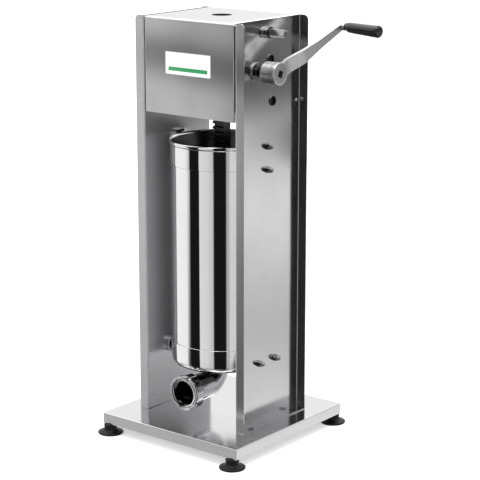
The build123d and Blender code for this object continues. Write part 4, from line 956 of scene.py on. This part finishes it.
# %% Elbow
pipe_tree, given, made = shape_tree("pipe_on_path", [
    ("Outside Radius", "length", 0.031), ("Facets", "count", 72), ("Finish", "material", None)])
smooth_path = add_node(pipe_tree, "GeometryNodeCurveToMesh", Curve=given["Geometry"], Profile_Curve=add_node(
    pipe_tree, "GeometryNodeCurvePrimitiveCircle", Resolution=given["Facets"],
    Radius=given["Outside Radius"]).outputs[0])
pipe_done = add_node(pipe_tree, "GeometryNodeSetMaterial", Geometry=smooth_path.outputs[0],
                     Material=given["Finish"])
link(pipe_tree, pipe_done.outputs[0], made["Geometry"])

elbow_low, elbow_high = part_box("outlet_elbow")
outlet_axis_z = middle("ring_nut").z
pipe_outside = 0.031
pipe_wall = 0.0025
drop_y = elbow_high.y - pipe_outside
bend = elbow_high.z - 0.004 - outlet_axis_z
bend = min(bend, 0.045)
path_points = [Vector((0, drop_y, elbow_high.z))]
for step in range(25):
    turn = pi / 2 * step / 24
    path_points.append(Vector((0, drop_y - bend * (1 - cos(turn)), outlet_axis_z + bend * (1 - sin(turn)))))
path_points.append(Vector((0, elbow_low.y, outlet_axis_z)))
path_curve = bpy.data.curves.new("outlet_path", "CURVE")
path_curve.dimensions = "3D"
run = path_curve.splines.new("POLY")
run.points.add(len(path_points) - 1)
for point, place in zip(run.points, path_points):
    point.co = (*place, 1)
elbow_worker = bpy.data.objects.new("elbow_worker", path_curve)
scene.collection.objects.link(elbow_worker)
modifier = elbow_worker.modifiers.new("tree", "NODES")
modifier.node_group = pipe_tree
sockets = {item.name: item.identifier for item in pipe_tree.interface.items_tree if item.in_out == "INPUT"}
modifier[sockets["Finish"]] = outlet_steel
skin = plain_mesh(elbow_worker, "elbow_skin")
wall = skin.modifiers.new("wall", "SOLIDIFY")
wall.thickness = pipe_wall
wall.offset = -1
elbow = plain_mesh(skin, "outlet_elbow_pipe")
shape = bmesh.new()
shape.from_mesh(elbow.data)
bmesh.ops.recalc_face_normals(shape, faces=shape.faces)
shape.to_mesh(elbow.data)
shape.free()
round_off(elbow.data)
settle(elbow, outlet_steel, "cabinet", "polished_steel", "outlet_elbow")

# %% Ring nut
nut_low, nut_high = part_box("ring_nut")
nut_front, nut_back = -nut_low.y, -nut_high.y
face_rings = [(nut_front - 0.0080, 0.0382), (nut_front - 0.0078, 0.0394), (nut_front - 0.0068, 0.0400),
              (nut_front - 0.0022, 0.0400), (nut_front - 0.0010, 0.0396), (nut_front - 0.0002, 0.0386),
              (nut_front, 0.0374), (nut_front - 0.0002, 0.0362), (nut_front - 0.0010, 0.0352),
              (nut_front - 0.0020, 0.0348), (nut_front - 0.0020, 0.0343), (nut_front - 0.0008, 0.0340),
              (nut_front - 0.0004, 0.0336), (nut_front - 0.0004, 0.0305), (nut_front - 0.0008, 0.0298),
              (nut_front - 0.0018, 0.0295), (nut_front - 0.0065, 0.0295), (nut_front - 0.0065, 0.03635)]
nut_profile = [(nut_back, 0.03635), (nut_back, 0.0374), (nut_back + 0.0008, 0.0382)] + face_rings
nut_body = turned("nut_body", nut_profile, (0, 0, outlet_axis_z), (0, -1, 0), 128)
lugs_tree, given, made = shape_tree("lugs_round_nut", [
    ("Lugs", "count", 6), ("Circle Radius", "length", 0.0378), ("Lug Thickness", "length", 0.006),
    ("Lug Width", "length", 0.013), ("Lug Length", "length", 0.021), ("Middle Distance", "length", 0.12),
    ("Axis Height", "length", 0.12), ("Finish", "material", None)])
block = add_node(lugs_tree, "GeometryNodeMeshCube", Size=add_node(
    lugs_tree, "ShaderNodeCombineXYZ", X=given["Lug Thickness"], Y=given["Lug Length"],
    Z=given["Lug Width"]).outputs[0])
circle = add_node(lugs_tree, "GeometryNodeMeshCircle", Vertices=given["Lugs"], Radius=given["Circle Radius"])
stood = add_node(lugs_tree, "GeometryNodeTransform", Geometry=circle.outputs[0],
                 Rotation=(pi / 2, radians(-20), 0))
outward = add_node(lugs_tree, "FunctionNodeAlignRotationToVector", {"axis": "X", "pivot_axis": "Y"},
                   Vector=add_node(lugs_tree, "GeometryNodeInputPosition").outputs[0])
lugs = add_node(lugs_tree, "GeometryNodeInstanceOnPoints", Points=stood.outputs[0], Instance=block.outputs[0],
                Rotation=outward.outputs[0])
real_lugs = add_node(lugs_tree, "GeometryNodeRealizeInstances", Geometry=lugs.outputs[0])
placed = add_node(lugs_tree, "GeometryNodeTransform", Geometry=real_lugs.outputs[0], Translation=add_node(
    lugs_tree, "ShaderNodeCombineXYZ", Y=given["Middle Distance"], Z=given["Axis Height"]).outputs[0])
tube = add_node(lugs_tree, "GeometryNodeMeshCylinder", Vertices=128, Radius=0.0364, Depth=0.08)
tube_set = add_node(lugs_tree, "GeometryNodeTransform", Geometry=tube.outputs["Mesh"],
                    Rotation=(pi / 2, 0, 0),
                    Translation=add_node(lugs_tree, "ShaderNodeCombineXYZ", Y=given["Middle Distance"],
                                         Z=given["Axis Height"]).outputs[0])
clear = add_node(lugs_tree, "GeometryNodeMeshBoolean", {"operation": "DIFFERENCE"}, Mesh_1=placed.outputs[0])
link(lugs_tree, tube_set.outputs[0], clear.inputs["Mesh 2"])
with_lugs = add_node(lugs_tree, "GeometryNodeSetMaterial", Geometry=joined(
    lugs_tree, [given["Geometry"], clear.outputs[0]]), Material=given["Finish"])
link(lugs_tree, with_lugs.outputs[0], made["Geometry"])
lug_middle = -(nut_back + nut_front - 0.008) / 2
nut_mesh = nut_body.data.copy()
bpy.data.objects.remove(nut_body)
nut = grown("lugged_ring_nut", nut_mesh, lugs_tree, Middle_Distance=lug_middle, Axis_Height=outlet_axis_z,
            Lug_Length=nut_front - nut_back - 0.008, Finish=nut_steel)
round_off(nut.data, 30)
settle(nut, nut_steel, "outlet_nut", "polished_steel", "ring_nut")

# %% [markdown]
# ## The crank
# The hub is rough turned, so its outside carries real shallow rings, and a square hole goes right
# through it, cut with a Boolean modifier. The grip is a long turned plastic handle with a neck,
# a slight swell and a domed end. It turns on its pin, so it rides on a body of its own.

# %% Hub
hub_low, hub_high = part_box("crank_hub")
hub_middle = middle("crank_hub")
hub_radius = (hub_high.z - hub_low.z) / 2
hub_length = hub_high.x - hub_low.x
hub_profile = [(0.0, 0.0), (0.0, hub_radius - 0.0035), (0.0006, hub_radius - 0.0018),
               (0.0020, hub_radius - 0.0005)]
ring_step = 0.0016
count = int((hub_length - 0.0090) / ring_step)
for number in range(count):
    start = 0.0035 + number * ring_step
    deep = 0.0008 if abs(start - 0.028) < ring_step else 0.00018
    hub_profile += [(start, hub_radius), (start + ring_step * 0.55, hub_radius), (start + ring_step * 0.7,
                    hub_radius - deep), (start + ring_step * 0.9, hub_radius - deep)]
hub_profile += [(hub_length - 0.0040, hub_radius), (hub_length - 0.0012, hub_radius),
                (hub_length - 0.0003, hub_radius - 0.0006), (hub_length, hub_radius - 0.0015),
                (hub_length, hub_radius - 0.0042), (hub_length - 0.0003, hub_radius - 0.0045),
                (hub_length - 0.0003, hub_radius - 0.0049), (hub_length, hub_radius - 0.0052),
                (hub_length, 0.0)]
hub_solid = turned("hub_solid", hub_profile, (hub_low.x, hub_middle.y, hub_middle.z), (1, 0, 0), 128)
square_side = 0.01516
square_turn = radians(68.6)
cutter_mesh = bpy.data.meshes.new("square_cutter")
cutter_shape = bmesh.new()
bmesh.ops.create_cube(cutter_shape, size=1.0, matrix=(
    Matrix.Translation((hub_low.x + hub_length / 2, hub_middle.y,
                        hub_middle.z)) @ Matrix.Rotation(square_turn, 4, "X")
    @ Matrix.Diagonal((2 * hub_length, square_side, square_side, 1))))
cutter_shape.to_mesh(cutter_mesh)
cutter_shape.free()
cutter = bpy.data.objects.new("square_cutter", cutter_mesh)
scene.collection.objects.link(cutter)
cut = hub_solid.modifiers.new("square_hole", "BOOLEAN")
cut.operation = "DIFFERENCE"
cut.object = cutter
hub = plain_mesh(hub_solid, "ringed_crank_hub")
bpy.data.objects.remove(cutter)
round_off(hub.data)
settle(hub, hub_steel, "crank", "cast_steel", "crank_hub")

# %% Grip
spin = next(j for j in frame["joints"] if j["name"] == "grip_spin")
print("grip joint", {k: spin[k] for k in spin if k in ("pos", "axis", "pos_m", "name")})
grip_axis = Vector(spin["axis"]).normalized()
pin_root = Vector(spin.get("pos_m") or spin.get("pos"))
grip_from = 0.0132
grip_reach = 0.096
grip_profile = [(grip_from, 0.00505), (grip_from, 0.0070), (grip_from + 0.0006, 0.0078),
                (grip_from + 0.0030, 0.0088),
                (grip_from + 0.0060, 0.0104), (grip_from + 0.0090, 0.0117), (grip_from + 0.0130, 0.0122),
                (grip_from + 0.0400, 0.0129), (grip_from + 0.0700, 0.0136), (grip_from + 0.0880, 0.01400),
                (grip_from + 0.0915, 0.01385), (grip_from + 0.0938, 0.01290), (grip_from + 0.0952, 0.0114),
                (grip_from + grip_reach - 0.0001, 0.0092), (grip_from + grip_reach, 0.0060),
                (grip_from + grip_reach, 0.0), (grip_from + grip_reach - 0.0090, 0.0),
                (grip_from + grip_reach - 0.0090, 0.00505)]
grip = turned("plastic_grip", grip_profile, pin_root, grip_axis, 72)
round_off(grip.data, 40)
settle(grip, black_plastic, "handgrip", "black_plastic", "grip")

# %% [markdown]
# ## The label
# A small enamelled plate: white, with a narrow grey border and one plain green stripe. It is a
# thin slab with rounded corners and an eased front edge. The colours are masks on its own place,
# measured from its middle with a Mapping node.

# %% Label
label_low, label_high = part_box("label_plate")
label_middle = (label_low + label_high) / 2
half_wide, half_high = (label_high.x - label_low.x) / 2, (label_high.z - label_low.z) / 2
corner = 0.002
outline = []
for quarter, (way_x, way_z) in enumerate(((1, 1), (-1, 1), (-1, -1), (1, -1))):
    for step in range(7):
        turn = pi / 2 * (quarter + step / 6)
        outline.append((label_middle.x + way_x * (half_wide - corner) + corner * cos(turn),
                        label_middle.z + way_z * (half_high - corner) + corner * sin(turn)))
shape = bmesh.new()
back_row = [shape.verts.new((x, label_high.y, z)) for x, z in outline]
face = shape.faces.new(back_row)
front_part = bmesh.ops.extrude_face_region(shape, geom=[face])
for vert in (v for v in front_part["geom"] if isinstance(v, bmesh.types.BMVert)):
    vert.co.y = label_low.y
bmesh.ops.recalc_face_normals(shape, faces=shape.faces)
label_mesh = bpy.data.meshes.new("label_worker")
shape.to_mesh(label_mesh)
shape.free()
label_worker = bpy.data.objects.new("label_worker", label_mesh)
scene.collection.objects.link(label_worker)
easing = label_worker.modifiers.new("eased_edges", "BEVEL")
easing.width = 0.0002
easing.segments = 2
easing.limit_method = "ANGLE"
label = plain_mesh(label_worker, "striped_label")
round_off(label.data)

enamel, tree, shader, place = blank("striped_enamel")
centred = tree.nodes.new("ShaderNodeMapping")
centred.inputs["Location"].default_value = -label_middle
link(tree, place, centred.inputs["Vector"])
apart = tree.nodes.new("ShaderNodeSeparateXYZ")
link(tree, centred.outputs[0], apart.inputs[0])
from_side = maths(tree, "SUBTRACT", half_wide, maths(tree, "ABSOLUTE", apart.outputs["X"]))
from_top = maths(tree, "SUBTRACT", half_high, maths(tree, "ABSOLUTE", apart.outputs["Z"]))
border = maths(tree, "LESS_THAN", maths(tree, "MINIMUM", from_side, from_top), 0.0012)
low_stripe = maths(tree, "COMPARE", apart.outputs["Z"], -0.0125, 0.0045)
inside = maths(tree, "GREATER_THAN", from_side, 0.009)
stripe = maths(tree, "MULTIPLY", low_stripe, inside)
painted = tree.nodes.new("ShaderNodeMixRGB")
link(tree, stripe, painted.inputs["Fac"])
painted.inputs["Color1"].default_value = (0.86, 0.87, 0.86, 1)
painted.inputs["Color2"].default_value = (0.03, 0.28, 0.10, 1)
edged = tree.nodes.new("ShaderNodeMixRGB")
link(tree, border, edged.inputs["Fac"])
link(tree, painted.outputs[0], edged.inputs["Color1"])
edged.inputs["Color2"].default_value = (0.35, 0.36, 0.36, 1)
worn = use(tree, haze_group, Place=place, Size=60.0, Base_Roughness=0.25, Amount=0.2, Tone=(0.9, 0.9, 0.9, 1),
           Dulling=0.1)
link(tree, edged.outputs[0], shader.inputs["Base Color"])
link(tree, worn["Roughness"], shader.inputs["Roughness"])
settle(label, enamel, "cabinet", "label", "label_plate")
